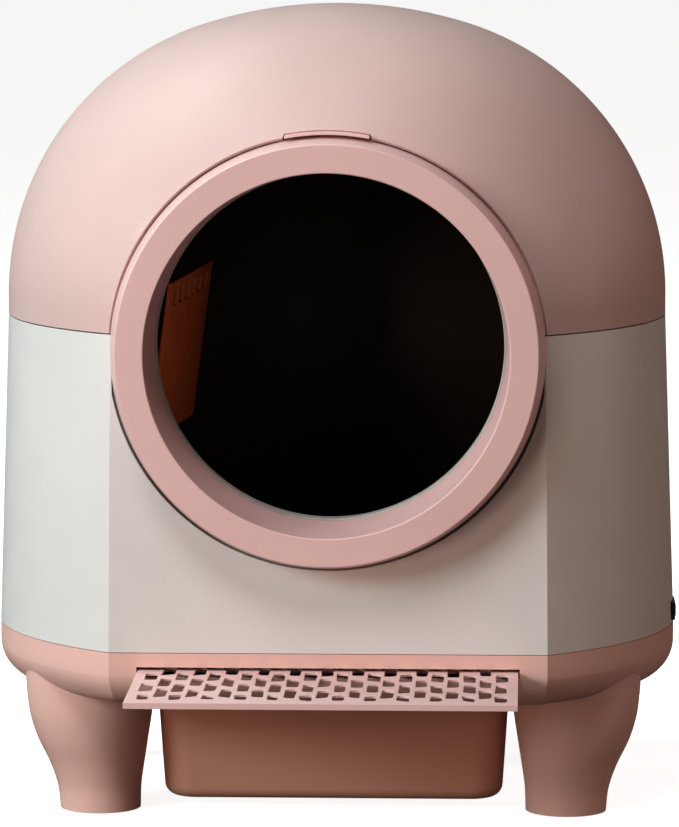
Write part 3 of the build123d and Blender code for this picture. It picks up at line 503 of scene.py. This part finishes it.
@dataclass
class Housing:
    """Off-white middle of the body, open for the entry ring and for the side button."""

    wall: float = 3 * MM
    ring_gap: float = 161.7 * MM
    button_half_y: float = 16 * MM
    button_half_z: float = 7 * MM

    def build(self, shop: Shop) -> bpy.types.Object:
        """Makes the housing.

        Args:
            shop: where pieces are finished.

        Returns:
            The housing.
        """
        low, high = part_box("housing")
        axis_z = ring_axis().z
        button_low, button_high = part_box("button_bezel")
        button_y = (button_low.y + button_high.y) / 2
        button_z = (button_low.z + button_high.z) / 2
        height = high.z - low.z
        hole_rows = [(button_z + sign * self.button_half_z - low.z) / height for sign in (-1, 1)]
        hole_columns = [BASE_PLAN.right_share(button_y + sign * self.button_half_y) for sign in (-1, 1)]

        def place(u: float, v: float) -> Vector:
            """Point at a place round the outline and a share of the height."""
            top = high.z
            x_top = SEAM_PLAN.point(u)[0]
            if 0.03 < u < 0.97 and abs(x_top) < self.ring_gap:
                top = min(top, axis_z - math.sqrt(self.ring_gap ** 2 - x_top ** 2))
            z = low.z + (top - low.z) * v
            x, y = BASE_PLAN.between(SEAM_PLAN, (z - low.z) / height).point(u)
            return Vector((x, y, z))

        columns = sorted(set(plan_columns() + hole_columns))
        rows = sorted(set(smooth_steps(15) + hole_rows))
        bm = mapped_grid(columns, rows, place)
        face_outwards(bm, Vector((0, BASE_PLAN.wide_y, (low.z + high.z) / 2)))
        hole = [
            face for face in bm.faces
            if face.calc_center_median().x > 0.2
            and abs(face.calc_center_median().y - button_y) < self.button_half_y
            and abs(face.calc_center_median().z - button_z) < self.button_half_z
        ]
        bmesh.ops.delete(bm, geom=hole, context="FACES")
        return shop.piece(bm, "housing_shell", ["housing"], Edges(1.1 * MM, 3, 24, self.wall), 40)


@dataclass
class BasePan:
    """Pink band below the housing, with a rounded underside and the step's slot."""

    wall: float = 3 * MM
    rounding: float = 26 * MM
    slot_half: float = 141.8 * MM
    slot_low: float = 116.9 * MM
    slot_high: float = 124.6 * MM
    arc_steps: int = 12

    def heights(self) -> list[tuple[float, float]]:
        """Height and inset of each line from the rim down to the flat underside."""
        low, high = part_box("base_pan")
        bend_z = low.z + self.rounding
        lines = [(high.z, 0.0), (self.slot_high, 0.0), (bend_z, 0.0)]
        slot_angle = math.asin((bend_z - self.slot_low) / self.rounding)
        angles = sorted(set(smooth_steps(self.arc_steps, 0.0, math.pi / 2)[1:] + [slot_angle]))
        for angle in angles:
            lines.append((bend_z - self.rounding * math.sin(angle), self.rounding * (1 - math.cos(angle))))
        return lines

    def sheet(self) -> bmesh.types.BMesh:
        """The band and its closed underside, with no wall thickness."""
        lines = self.heights()

        def place(u: float, v: float) -> Vector:
            """Point at a place round the outline and on a line."""
            z, inset = lines[round(v)]
            x, y = BASE_PLAN.inset(inset).point(u)
            return Vector((x, y, z))

        share = math.asin(self.slot_half / (BASE_PLAN.half * math.cos(BASE_PLAN.front_angle))) / math.pi
        columns = sorted(set(plan_columns() + [0.5 - share, 0.5 + share]))
        bm = mapped_grid(columns, list(range(len(lines))), place)
        rim = [e for e in bm.edges if e.is_boundary and abs(e.verts[0].co.z - lines[-1][0]) < WELD]
        bmesh.ops.contextual_create(bm, geom=rim)
        face_outwards(bm, Vector((0, BASE_PLAN.wide_y, lines[0][0])))
        return bm

    def build(self, shop: Shop) -> bpy.types.Object:
        """Makes the pan with the step's slot."""
        bm = self.sheet()
        slot = []
        for face in bm.faces:
            centre = face.calc_center_median()
            inside = abs(centre.x) < self.slot_half and self.slot_low < centre.z < self.slot_high
            if inside and centre.y < BASE_PLAN.front_y + 5 * MM:
                slot.append(face)
        bmesh.ops.delete(bm, geom=slot, context="FACES")
        return shop.piece(bm, "base_pan_shell", ["base_pan"], Edges(0.9 * MM, 3, 24, self.wall), 40)


@dataclass
class Hood:
    """Pink dome: a straight skirt and an arch of three arcs, drawn out to an ellipse each way."""

    plan: Plan = field(default_factory=lambda: SEAM_PLAN)
    rise: float = 221.5 * MM
    side_r: float = 216 * MM
    straight: float = 14 * MM
    wall: float = 3 * MM
    cut: float = 161.7 * MM
    notch: float = 2.4 * MM
    notch_half: float = 31.8 * MM
    arch_steps: int = 168
    depth_steps: int = 44
    halvings: int = 40

    @property
    def top_r(self) -> float:
        """Radius of the flat arc over the top."""
        half = self.plan.half
        return (half ** 2 - 2 * half * self.side_r + self.rise ** 2) / (2 * (self.rise - self.side_r))

    def arch_z(self, share: float, spring_z: float) -> float:
        """Height of the dome at a share of the way out from its middle."""
        out = min(share, 1.0) * self.plan.half
        side_x = self.plan.half - self.side_r
        meet = self.top_r * side_x / (self.top_r - self.side_r)
        if out <= meet:
            return spring_z + self.rise - self.top_r + math.sqrt(self.top_r ** 2 - out ** 2)
        return spring_z + math.sqrt(max(self.side_r ** 2 - (out - side_x) ** 2, 0.0))

    def lines(self, low_z: float) -> list[tuple[float, float]]:
        """Where each line starts on the widest arch: its share out to the right and its skirt height."""
        skirt = [(1.0, low_z + self.straight * i / 4) for i in range(4)]
        side_x = self.plan.half - self.side_r
        top_centre = self.rise - self.top_r
        meet = math.atan2(-top_centre, side_x)
        arch = []
        for angle in smooth_steps(self.arch_steps, 0.0, math.pi / 2):
            if angle <= meet:
                x = side_x + self.side_r * math.cos(angle)
            else:
                x = self.top_r * math.cos(angle)
            arch.append((x / self.plan.half, 0.0))
        left = [(-share, z) for share, z in reversed(skirt + arch[:-1])]
        return skirt + arch + left

    def build(self, shop: Shop) -> bpy.types.Object:
        """Makes the hood.

        Args:
            shop: where pieces are finished.

        Returns:
            The hood.
        """
        low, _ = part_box("hood")
        axis = ring_axis()
        spring_z = low.z + self.straight
        lines = self.lines(low.z)
        rear = self.plan.rear_angle

        def on_line(line: tuple[float, float], angle: float) -> Vector:
            """Point of the dome on a line, at an angle in front of (-) or behind (+) the widest arch."""
            share, skirt_z = line
            out = share * math.cos(angle)
            x = self.plan.half * out
            semi = self.plan.front_semi if angle < 0 else self.plan.rear_semi
            y = self.plan.wide_y + semi * math.sin(angle)
            z = skirt_z if skirt_z else self.arch_z(math.hypot(out, math.sin(angle)), spring_z)
            return Vector((x, y, z))

        def front_angle(line: tuple[float, float]) -> float:
            """Angle at which a line meets the ring's opening."""
            near, far = -math.pi / 2, 0.0
            for _ in range(self.halvings):
                middle = (near + far) / 2
                point = on_line(line, middle)
                radius = self.cut
                if abs(point.x) < self.notch_half and point.z > axis.z:
                    radius += self.notch
                if math.hypot(point.x, point.z - axis.z) < radius:
                    near = middle
                else:
                    far = middle
            return far

        starts = [front_angle(line) for line in lines]

        def place(column: float, row: float) -> Vector:
            """Point on a line: rows from -1 to 0 are in front, from 0 to 1 behind."""
            index = round(column)
            angle = starts[index] * -row if row < 0 else rear * row
            return on_line(lines[index], angle)

        rows = smooth_steps(2 * self.depth_steps + 1, -1.0, 1.0)
        bm = mapped_grid(list(range(len(lines))), rows, place)
        rear_edges = [
            e for e in bm.edges
            if e.is_boundary and all(abs(v.co.y - self.plan.rear_y) < WELD for v in e.verts)
        ]
        bmesh.ops.contextual_create(bm, geom=rear_edges)
        face_outwards(bm, Vector((0, self.plan.wide_y, low.z)))
        return shop.piece(bm, "hood_dome", ["hood"], Edges(0.6 * MM, 3, 35, self.wall), 40)


def ring_axis() -> Vector:
    """The middle of the entry ring's front, on the drum's axis."""
    low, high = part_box("entry_ring")
    return Vector((0, low.y, (low.z + high.z) / 2))


@dataclass
class EntryRing:
    """Ring round the entry: a tapered outside, a flat face and a throat that narrows inwards."""

    face_outer: float = 155.1 * MM
    back_outer: float = 160.2 * MM
    mouth: float = 133.8 * MM
    throat: float = 130.4 * MM
    wall: float = 3 * MM
    taper: float = 30 * MM
    outside: float = 33.5 * MM
    turn_steps: int = 256

    def build(self, shop: Shop) -> bpy.types.Object:
        """Makes the ring in one turned piece."""
        low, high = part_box("entry_ring")
        depth = high.y - low.y
        profile = [
            (self.mouth, 0.0), (self.face_outer, 0.0), (self.back_outer, self.taper),
            (self.back_outer, self.outside), (self.back_outer - self.wall, self.outside),
            (self.face_outer - self.wall, self.wall),
            (self.mouth + self.wall, self.wall), (self.throat + self.wall, depth), (self.throat, depth),
        ]
        bm = spun(profile, ring_axis(), Y_AXIS, self.turn_steps)
        return shop.piece(bm, "entry_ring_turned", ["entry_ring"], Edges(1.0 * MM, 4, 20), 60)


REAR_LEG_X = 194.6 * MM
REAR_LEG_SLIM = 6.6 * MM


@dataclass
class Leg:
    """Leg that narrows to the floor and leans inwards, cut to the pan's underside at its top."""

    side: int
    end: str
    top_x: float = 184.4 * MM
    slim: float = 0.0
    stations: tuple[tuple[float, float, float], ...] = (
        (0.6 * MM, 30.6 * MM, -7.3 * MM), (18 * MM, 31.9 * MM, -6.6 * MM), (36 * MM, 36.2 * MM, -4.8 * MM),
        (55 * MM, 42.2 * MM, -1.8 * MM), (73 * MM, 46.4 * MM, -0.4 * MM), (92 * MM, 48.5 * MM, -0.1 * MM),
        (112 * MM, 49.4 * MM, 0.0),
    )
    search_from: float = 80 * MM
    search_step: float = 1 * MM
    wall: float = 3 * MM
    round_steps: int = 72
    rise_steps: int = 40

    def section(self, z: float) -> tuple[float, float]:
        """Radius and lean at a height, by a smooth curve through the stations."""
        spots = self.stations
        last = len(spots) - 2
        i = next((k for k in range(last) if z <= spots[k + 1][0]), last)
        start, end = spots[i], spots[i + 1]
        before, after = spots[max(i - 1, 0)], spots[min(i + 2, last + 1)]
        span = end[0] - start[0]
        t = (z - start[0]) / span
        values = []
        for k in (1, 2):
            slope_in = (end[k] - before[k]) / (end[0] - before[0]) * span
            slope_out = (after[k] - start[k]) / (after[0] - start[0]) * span
            values.append(
                (2 * t ** 3 - 3 * t ** 2 + 1) * start[k] + (t ** 3 - 2 * t ** 2 + t) * slope_in
                + (3 * t ** 2 - 2 * t ** 3) * end[k] + (t ** 3 - t ** 2) * slope_out
            )
        return values[0] - self.slim, values[1]

    def point(self, turn: float, z: float, y: float) -> Vector:
        """Point on the leg's skin."""
        radius, lean = self.section(z)
        x = self.side * (self.top_x + lean)
        return Vector((x + radius * math.cos(turn), y + radius * math.sin(turn), z))

    def top_at(self, turn: float, y: float, pan: BVHTree, high_z: float) -> float:
        """Height at which the leg's skin meets the pan."""
        z = self.search_from
        while z < high_z:
            start, end = self.point(turn, z, y), self.point(turn, z + self.search_step, y)
            hit = pan.ray_cast(start, (end - start).normalized(), (end - start).length)[0]
            if hit is not None:
                return hit.z
            z += self.search_step
        return high_z

    def build(self, shop: Shop, pan: BVHTree) -> bpy.types.Object:
        """Makes the leg.

        Args:
            shop: where pieces are finished.
            pan: the base pan's skin, which the leg's top meets.

        Returns:
            The leg.
        """
        node = f"leg_{self.end}_{'left' if self.side < 0 else 'right'}"
        low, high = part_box(node)
        pad_y = (low.y + high.y) / 2
        foot_z = self.stations[0][0]
        turns = smooth_steps(self.round_steps + 1, 0.0, math.tau)
        tops = {turn: self.top_at(turn, pad_y, pan, high.z) for turn in turns}

        def place(turn: float, share: float) -> Vector:
            """Point round the leg at a share of the way up to the pan."""
            return self.point(turn, foot_z + (tops[turn] - foot_z) * share, pad_y)

        bm = mapped_grid(turns, smooth_steps(self.rise_steps), place)
        sole = [e for e in bm.edges if e.is_boundary and abs(e.verts[0].co.z - foot_z) < WELD]
        bmesh.ops.contextual_create(bm, geom=sole)
        face_outwards(bm, Vector((self.side * self.top_x, pad_y, high.z / 2)))
        return shop.piece(bm, f"{node}_shell", [node], Edges(0.9 * MM, 3, 50, self.wall), 50)


@dataclass
class Step:
    """Thin plate with a rim, whose holes are staggered, rounded and each a little different."""

    pitch: float = 11.7 * MM
    row: float = 46 * MM
    hole_half: float = 4.3 * MM
    hole_length: float = 32 * MM
    corner: float = 2.6 * MM
    uneven_x: float = 0.8 * MM
    uneven_y: float = 3.5 * MM
    front_margin: float = 14 * MM
    rear_margin: float = 4 * MM
    shortest: float = 5 * MM
    wall: float = 1.8 * MM
    columns: int = 23
    seed: int = 11

    def hole(self, bm: bmesh.types.BMesh, x: float, near: float, far: float, dice: random.Random) -> None:
        """Adds the outline of one rounded, slightly crooked hole.

        Args:
            bm: the sheet.
            x: the hole's middle.
            near: Y of its front end.
            far: Y of its rear end.
            dice: where its unevenness comes from.
        """
        turn = Matrix.Rotation(math.radians(45), 3, "Z")
        verts = bmesh.ops.create_circle(bm, cap_ends=True, segments=4, radius=1.0)["verts"]
        bmesh.ops.rotate(bm, verts=verts, cent=(0, 0, 0), matrix=turn)
        sway = min(self.uneven_y, (far - near) / 6)
        for vert in verts:
            end = far if vert.co.y > 0 else near
            vert.co.x = x + math.copysign(self.hole_half, vert.co.x) + dice.uniform(-1, 1) * self.uneven_x
            vert.co.y = end + dice.uniform(-1, 1) * sway
        bmesh.ops.bevel(
            bm, geom=verts, offset=min(self.corner, (far - near) / 3), segments=4, profile=0.5,
            affect="VERTICES", material=-1,
        )

    def sheet(self, low: Vector, high: Vector) -> bmesh.types.BMesh:
        """The plate's top as a flat sheet with its holes.

        Args:
            low: the plate's lowest corner.
            high: its highest corner.

        Returns:
            The sheet, at the plate's top.
        """
        bm = bmesh.new()
        dice = random.Random(self.seed)
        first, last = low.y + self.front_margin, high.y - self.rear_margin
        for column in range(self.columns):
            x = (column - (self.columns - 1) / 2) * self.pitch
            y = first - self.row * (0.75 if column % 2 else 0.25)
            while y < last:
                near, far = max(y, first), min(y + self.hole_length, last)
                if far - near > self.shortest:
                    self.hole(bm, x, near, far, dice)
                y += self.row
        corners = bmesh.ops.create_grid(bm, x_segments=1, y_segments=1, size=1.0)["verts"]
        for vert in corners:
            vert.co = (math.copysign(high.x, vert.co.x), low.y if vert.co.y < 0 else high.y, 0)
        bmesh.ops.delete(bm, geom=list(bm.faces), context="FACES_ONLY")
        bmesh.ops.triangle_fill(bm, edges=list(bm.edges), use_beauty=True, use_dissolve=False)
        bmesh.ops.translate(bm, verts=bm.verts, vec=(0, 0, high.z))
        return bm

    def build(self, shop: Shop) -> bpy.types.Object:
        """Makes the step's plate.

        Args:
            shop: where pieces are finished.

        Returns:
            The plate.
        """
        low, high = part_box("step_plate")
        bm = self.sheet(low, high)
        face_outwards(bm, Vector((0, (low.y + high.y) / 2, 0)))
        edge = [
            e for e in bm.edges
            if e.is_boundary and all(
                min(high.x - abs(v.co.x), v.co.y - low.y, high.y - v.co.y) < WELD for v in e.verts
            )
        ]
        rim = bmesh.ops.extrude_edge_only(bm, edges=edge)["geom"]
        rim_verts = [v for v in rim if isinstance(v, bmesh.types.BMVert)]
        bmesh.ops.translate(bm, verts=rim_verts, vec=(0, 0, low.z - high.z))
        return shop.piece(bm, "step_grille", ["step_plate"], Edges(0.4 * MM, 2, 40, self.wall), 40)


@dataclass
class WasteBin:
    """Bin below the pan, with drafted walls and rounded corners and floor."""

    corner: float = 24 * MM
    floor_round: float = 9 * MM
    wall: float = 2.5 * MM
    top_half: float = 134.0 * MM
    low_half: float = 128.5 * MM
    draft: float = 0.08
    least_corner: float = 6 * MM

    def build(self, shop: Shop) -> bpy.types.Object:
        """Makes the bin.

        Args:
            shop: where pieces are finished.

        Returns:
            The bin.
        """
        low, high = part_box("waste_bin")
        middle = Vector((0, (low.y + high.y) / 2, 0))
        half_y = (high.y - low.y) / 2
        height = high.z - low.z
        lines: list[tuple[float, float]] = [(high.z, 0.0)]
        for angle in smooth_steps(10, 0.0, math.pi / 2):
            z = low.z + self.floor_round * (1 - math.sin(angle))
            lines.append((z, self.floor_round * (1 - math.cos(angle))))

        def place(turn: float, row: float) -> Vector:
            """Point round the bin's outline on a line."""
            z, inset = lines[round(row)]
            drop = (high.z - z) / height
            half_x = self.top_half - (self.top_half - self.low_half) * drop - inset
            depth = half_y - self.draft * (high.z - z) - inset
            corner = max(self.corner - inset, self.least_corner)
            quarter, share = int(turn) % 4, turn - int(turn)
            sign_x = (1, -1, -1, 1)[quarter]
            sign_y = (1, 1, -1, -1)[quarter]
            angle = (quarter + share) * math.pi / 2
            centre = middle + Vector((sign_x * (half_x - corner), sign_y * (depth - corner), z))
            return centre + corner * Vector((math.cos(angle), math.sin(angle), 0))

        turns: list[float] = []
        for quarter in range(4):
            turns += [quarter + share * 0.999999 for share in smooth_steps(11)]
        bm = mapped_grid(turns + [0.0], list(range(len(lines))), place)
        floor = [e for e in bm.edges if e.is_boundary and abs(e.verts[0].co.z - lines[-1][0]) < WELD]
        bmesh.ops.contextual_create(bm, geom=floor)
        face_outwards(bm, middle + Vector((0, 0, (low.z + high.z) / 2)))
        return shop.piece(bm, "waste_bin_tub", ["waste_bin"], Edges(0.8 * MM, 3, 40, self.wall), 40)


# ---------------------------------------------------------------- drum


@dataclass
class Drum:
    """Dark ball-shaped drum in two bowls, with a light lip round its mouth."""

    radius: float = 205 * MM
    wall: float = 3 * MM
    lip_radius: float = 131.5 * MM
    lip_wall: float = 2.1 * MM
    port_angle: float = 125.0
    port_half_turn: float = 17.0
    port_half_y: float = 50 * MM
    lip_gap: float = 0.1 * MM
    seam_gap: float = 0.2 * MM
    rear_pole: float = 0.02
    turn_steps: int = 144
    lip_steps: int = 192

    def centre(self) -> Vector:
        """The drum's middle."""
        low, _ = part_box("drum_shell_rear")
        return Vector((0, low.y - self.seam_gap, ring_axis().z))

    def bowl(self, front: bool) -> bmesh.types.BMesh:
        """One bowl as a sheet, with the waste port open."""
        middle = self.centre()
        mouth = math.asin((self.lip_radius + self.lip_gap) / self.radius)
        port = math.asin(self.port_half_y / self.radius)
        if front:
            tilts = sorted(set(smooth_steps(30, mouth, math.pi / 2) + [math.pi / 2 - port]))
        else:
            rear_tilts = smooth_steps(44, math.pi / 2, math.pi - self.rear_pole)
            tilts = sorted(set(rear_tilts + [math.pi / 2 + port]))
        edges = [math.radians(self.port_angle + sign * self.port_half_turn) for sign in (-1, 1)]
        turns = sorted(set(smooth_steps(self.turn_steps + 1, 0.0, math.tau) + edges))

        def place(turn: float, tilt: float) -> Vector:
            """Point on the ball."""
            out = self.radius * math.sin(tilt)
            along = -self.radius * math.cos(tilt)
            return middle + Vector((out * math.cos(turn), along, out * math.sin(turn)))

        bm = mapped_grid(turns, tilts, place)
        port_faces = []
        for face in bm.faces:
            offset = face.calc_center_median() - middle
            turn = math.atan2(offset.z, offset.x)
            if abs(offset.y) < self.port_half_y and edges[0] < turn < edges[1]:
                port_faces.append(face)
        bmesh.ops.delete(bm, geom=port_faces, context="FACES")
        if not front:
            pole = [e for e in bm.edges if e.is_boundary and e.verts[0].co.y > middle.y + self.radius * 0.9]
            bmesh.ops.contextual_create(bm, geom=pole)
        face_outwards(bm, middle)
        return bm

    def build(self, shop: Shop) -> None:
        """Makes the bowls and the lip."""
        edges = Edges(0.6 * MM, 2, 40, self.wall)
        shop.piece(self.bowl(True), "drum_bowl_front", ["drum_shell_front"], edges, 40)
        shop.piece(self.bowl(False), "drum_bowl_rear", ["drum_shell_rear"], edges, 40)
        low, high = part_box("drum_lip")
        inner = self.lip_radius - self.lip_wall
        depth = high.y - low.y
        profile = [(inner, 0.0), (self.lip_radius, 0.0), (self.lip_radius, depth), (inner, depth)]
        bm = spun(profile, Vector((0, low.y, ring_axis().z)), Y_AXIS, self.lip_steps)
        shop.piece(bm, "drum_lip_turned", ["drum_lip"], Edges(0.6 * MM, 3, 40), 50)


@dataclass
class SmallParts:
    """Parts whose CAD shape is right and only wants its edges broken."""

    rounded: tuple[tuple[str, float], ...] = (
        ("sieve_screen", 0.6 * MM), ("hood_latch", 0.5 * MM), ("side_button", 0.3 * MM),
        ("button_bezel", 0.3 * MM), ("step_runner_left", 0.4 * MM), ("step_runner_right", 0.4 * MM),
        ("step_rail_left", 0.5 * MM), ("step_rail_right", 0.5 * MM), ("drawer_rail_left", 0.4 * MM),
        ("drawer_rail_right", 0.4 * MM), ("bag_frame", 0.8 * MM), ("foot_pads", 0.6 * MM),
        ("hinge_brackets", 0.4 * MM), ("hood_hinges", 0.4 * MM), ("power_inlet", 0.3 * MM),
    )

    def build(self, shop: Shop) -> None:
        """Makes a copy of each part with rounded edges."""
        for node, width in self.rounded:
            shop.piece(merged_copy(node), f"{node}_rounded", [node], Edges(width, 2, 35), 35)


# ---------------------------------------------------------------- studio


@dataclass
class Lamp:
    """A soft area light that looks at the litter box."""

    name: str
    azimuth: float
    elevation: float
    distance: float
    size: float
    power: float
    colour: Colour = (1.0, 1.0, 1.0)

    def place(self, target: Vector) -> None:
        """Adds the light.

        Args:
            target: the point that it faces. Azimuth 0 is in front, and positive is to the right.
        """
        turn, lift = math.radians(self.azimuth), math.radians(self.elevation)
        away = Vector((math.sin(turn) * math.cos(lift), -math.cos(turn) * math.cos(lift), math.sin(lift)))
        data = bpy.data.lights.new(self.name, "AREA")
        data.shape = "DISK"
        data.size = self.size
        data.energy = self.power
        data.color = self.colour
        lamp = bpy.data.objects.new(self.name, data)
        lamp.location = target + away * self.distance
        lamp.rotation_euler = (-away).to_track_quat("-Z", "Y").to_euler()
        bpy.context.scene.collection.objects.link(lamp)


@dataclass
class Studio:
    """Pale floor, soft lights and the camera."""

    floor_size: float = 120.0
    eye: Triple = (147.2 * MM, -3814.7 * MM, 753.5 * MM)
    heading: float = 2.17
    tilt: float = 6.85
    lens: float = 218.2
    ambient: Colour = (1.0, 0.85, 0.78)
    ambient_strength: float = 0.02
    floor_glow: float = 0.9
    lamp_target: Triple = (0.0, 0.0, 0.3)
    lamps: tuple[Lamp, ...] = (
        Lamp("key", -50, 18, 3.0, 1.0, 39.6, (0.856, 1.0, 0.974)),
        Lamp("key_side", -65, 18, 3.0, 1.0, 21.0, (0.735, 0.915, 1.0)),
        Lamp("high_left", -110, 55, 3.0, 1.0, 40.0, (0.723, 1.0, 0.945)),
        Lamp("high_front", -35, 55, 3.0, 1.0, 27.5, (0.793, 0.911, 1.0)),
        Lamp("high_middle", -15, 55, 3.0, 1.0, 24.7, (1.0, 0.880, 0.800)),
        Lamp("low_front", -30, 2, 3.0, 1.0, 20.0, (1.0, 0.700, 0.540)),
        Lamp("right_fill", 95, 12, 3.0, 1.0, 14.0, (1.0, 0.740, 0.620)),
        Lamp("throat_fill", 38, 6, 3.0, 1.0, 4.5, (1.0, 0.700, 0.560)),
    )

    def floor(self) -> None:
        """Adds the floor."""
        bm = bmesh.new()
        bmesh.ops.create_grid(bm, x_segments=1, y_segments=1, size=self.floor_size / 2)
        mesh = bpy.data.meshes.new("floor")
        bm.to_mesh(mesh)
        bm.free()
        floor = bpy.data.objects.new("floor", mesh)
        bpy.context.scene.collection.objects.link(floor)
        graph = Graph("floor_pale")
        shader = graph.add("ShaderNodeBsdfPrincipled")
        tone = graph.mix(graph.noise(0.8, 2.0), (0.93, 0.93, 0.93, 1), (0.96, 0.96, 0.96, 1))
        graph.join(tone, shader.inputs["Base Color"])
        shader.inputs["Roughness"].default_value = 0.9
        shader.inputs["Emission Color"].default_value = (1, 1, 1, 1)
        shader.inputs["Emission Strength"].default_value = self.floor_glow
        output = graph.add("ShaderNodeOutputMaterial")
        graph.join(shader.outputs["BSDF"], output.inputs["Surface"])
        mesh.materials.append(graph.material)
        floor.visible_diffuse = False
        floor.visible_glossy = False

    def world(self) -> None:
        """Sets the soft light from all round, behind which the room looks white."""
        world = bpy.data.worlds.new("studio")
        bpy.context.scene.world = world
        world.use_nodes = True
        tree = world.node_tree
        tree.nodes.clear()
        soft = tree.nodes.new("ShaderNodeBackground")
        soft.inputs["Color"].default_value = (*self.ambient, 1)
        soft.inputs["Strength"].default_value = self.ambient_strength
        white = tree.nodes.new("ShaderNodeBackground")
        white.inputs["Color"].default_value = (1, 1, 1, 1)
        paths = tree.nodes.new("ShaderNodeLightPath")
        mix = tree.nodes.new("ShaderNodeMixShader")
        output = tree.nodes.new("ShaderNodeOutputWorld")
        tree.links.new(paths.outputs["Is Camera Ray"], mix.inputs[0])
        tree.links.new(soft.outputs[0], mix.inputs[1])
        tree.links.new(white.outputs[0], mix.inputs[2])
        tree.links.new(mix.outputs[0], output.inputs["Surface"])

    def camera(self) -> None:
        """Adds the camera."""
        data = bpy.data.cameras.new("camera")
        data.lens = self.lens
        data.sensor_width = 36.0
        data.clip_end = 200.0
        camera = bpy.data.objects.new("camera", data)
        camera.location = self.eye
        camera.rotation_euler = (math.radians(90 - self.tilt), 0, math.radians(self.heading))
        bpy.context.scene.collection.objects.link(camera)
        bpy.context.scene.camera = camera

    def build(self) -> None:
        """Sets up the whole studio."""
        self.camera()
        self.floor()
        self.world()
        for lamp in self.lamps:
            lamp.place(Vector(self.lamp_target))
        bpy.context.scene.view_settings.view_transform = "Standard"


def main() -> None:
    """Builds the litter box's looks, piece by piece."""
    logging.basicConfig(level=logging.INFO, format="%(message)s")
    Studio().build()
    paints = Paintbox(FINISHES)
    shop = Shop(paints)
    for node in frame["nodes"]:
        paints.paint_node(node)
    Housing().build(shop)
    pan = BasePan()
    pan.build(shop)
    Hood().build(shop)
    EntryRing().build(shop)
    pan_skin = BVHTree.FromBMesh(pan.sheet())
    for side in (-1, 1):
        Leg(side, "front").build(shop, pan_skin)
        Leg(side, "rear", top_x=REAR_LEG_X, slim=REAR_LEG_SLIM).build(shop, pan_skin)
    Step().build(shop)
    WasteBin().build(shop)
    Drum().build(shop)
    SmallParts().build(shop)
    LOG.info("%d pieces made", len(shop.made))


if __name__ == "__main__":
    main()
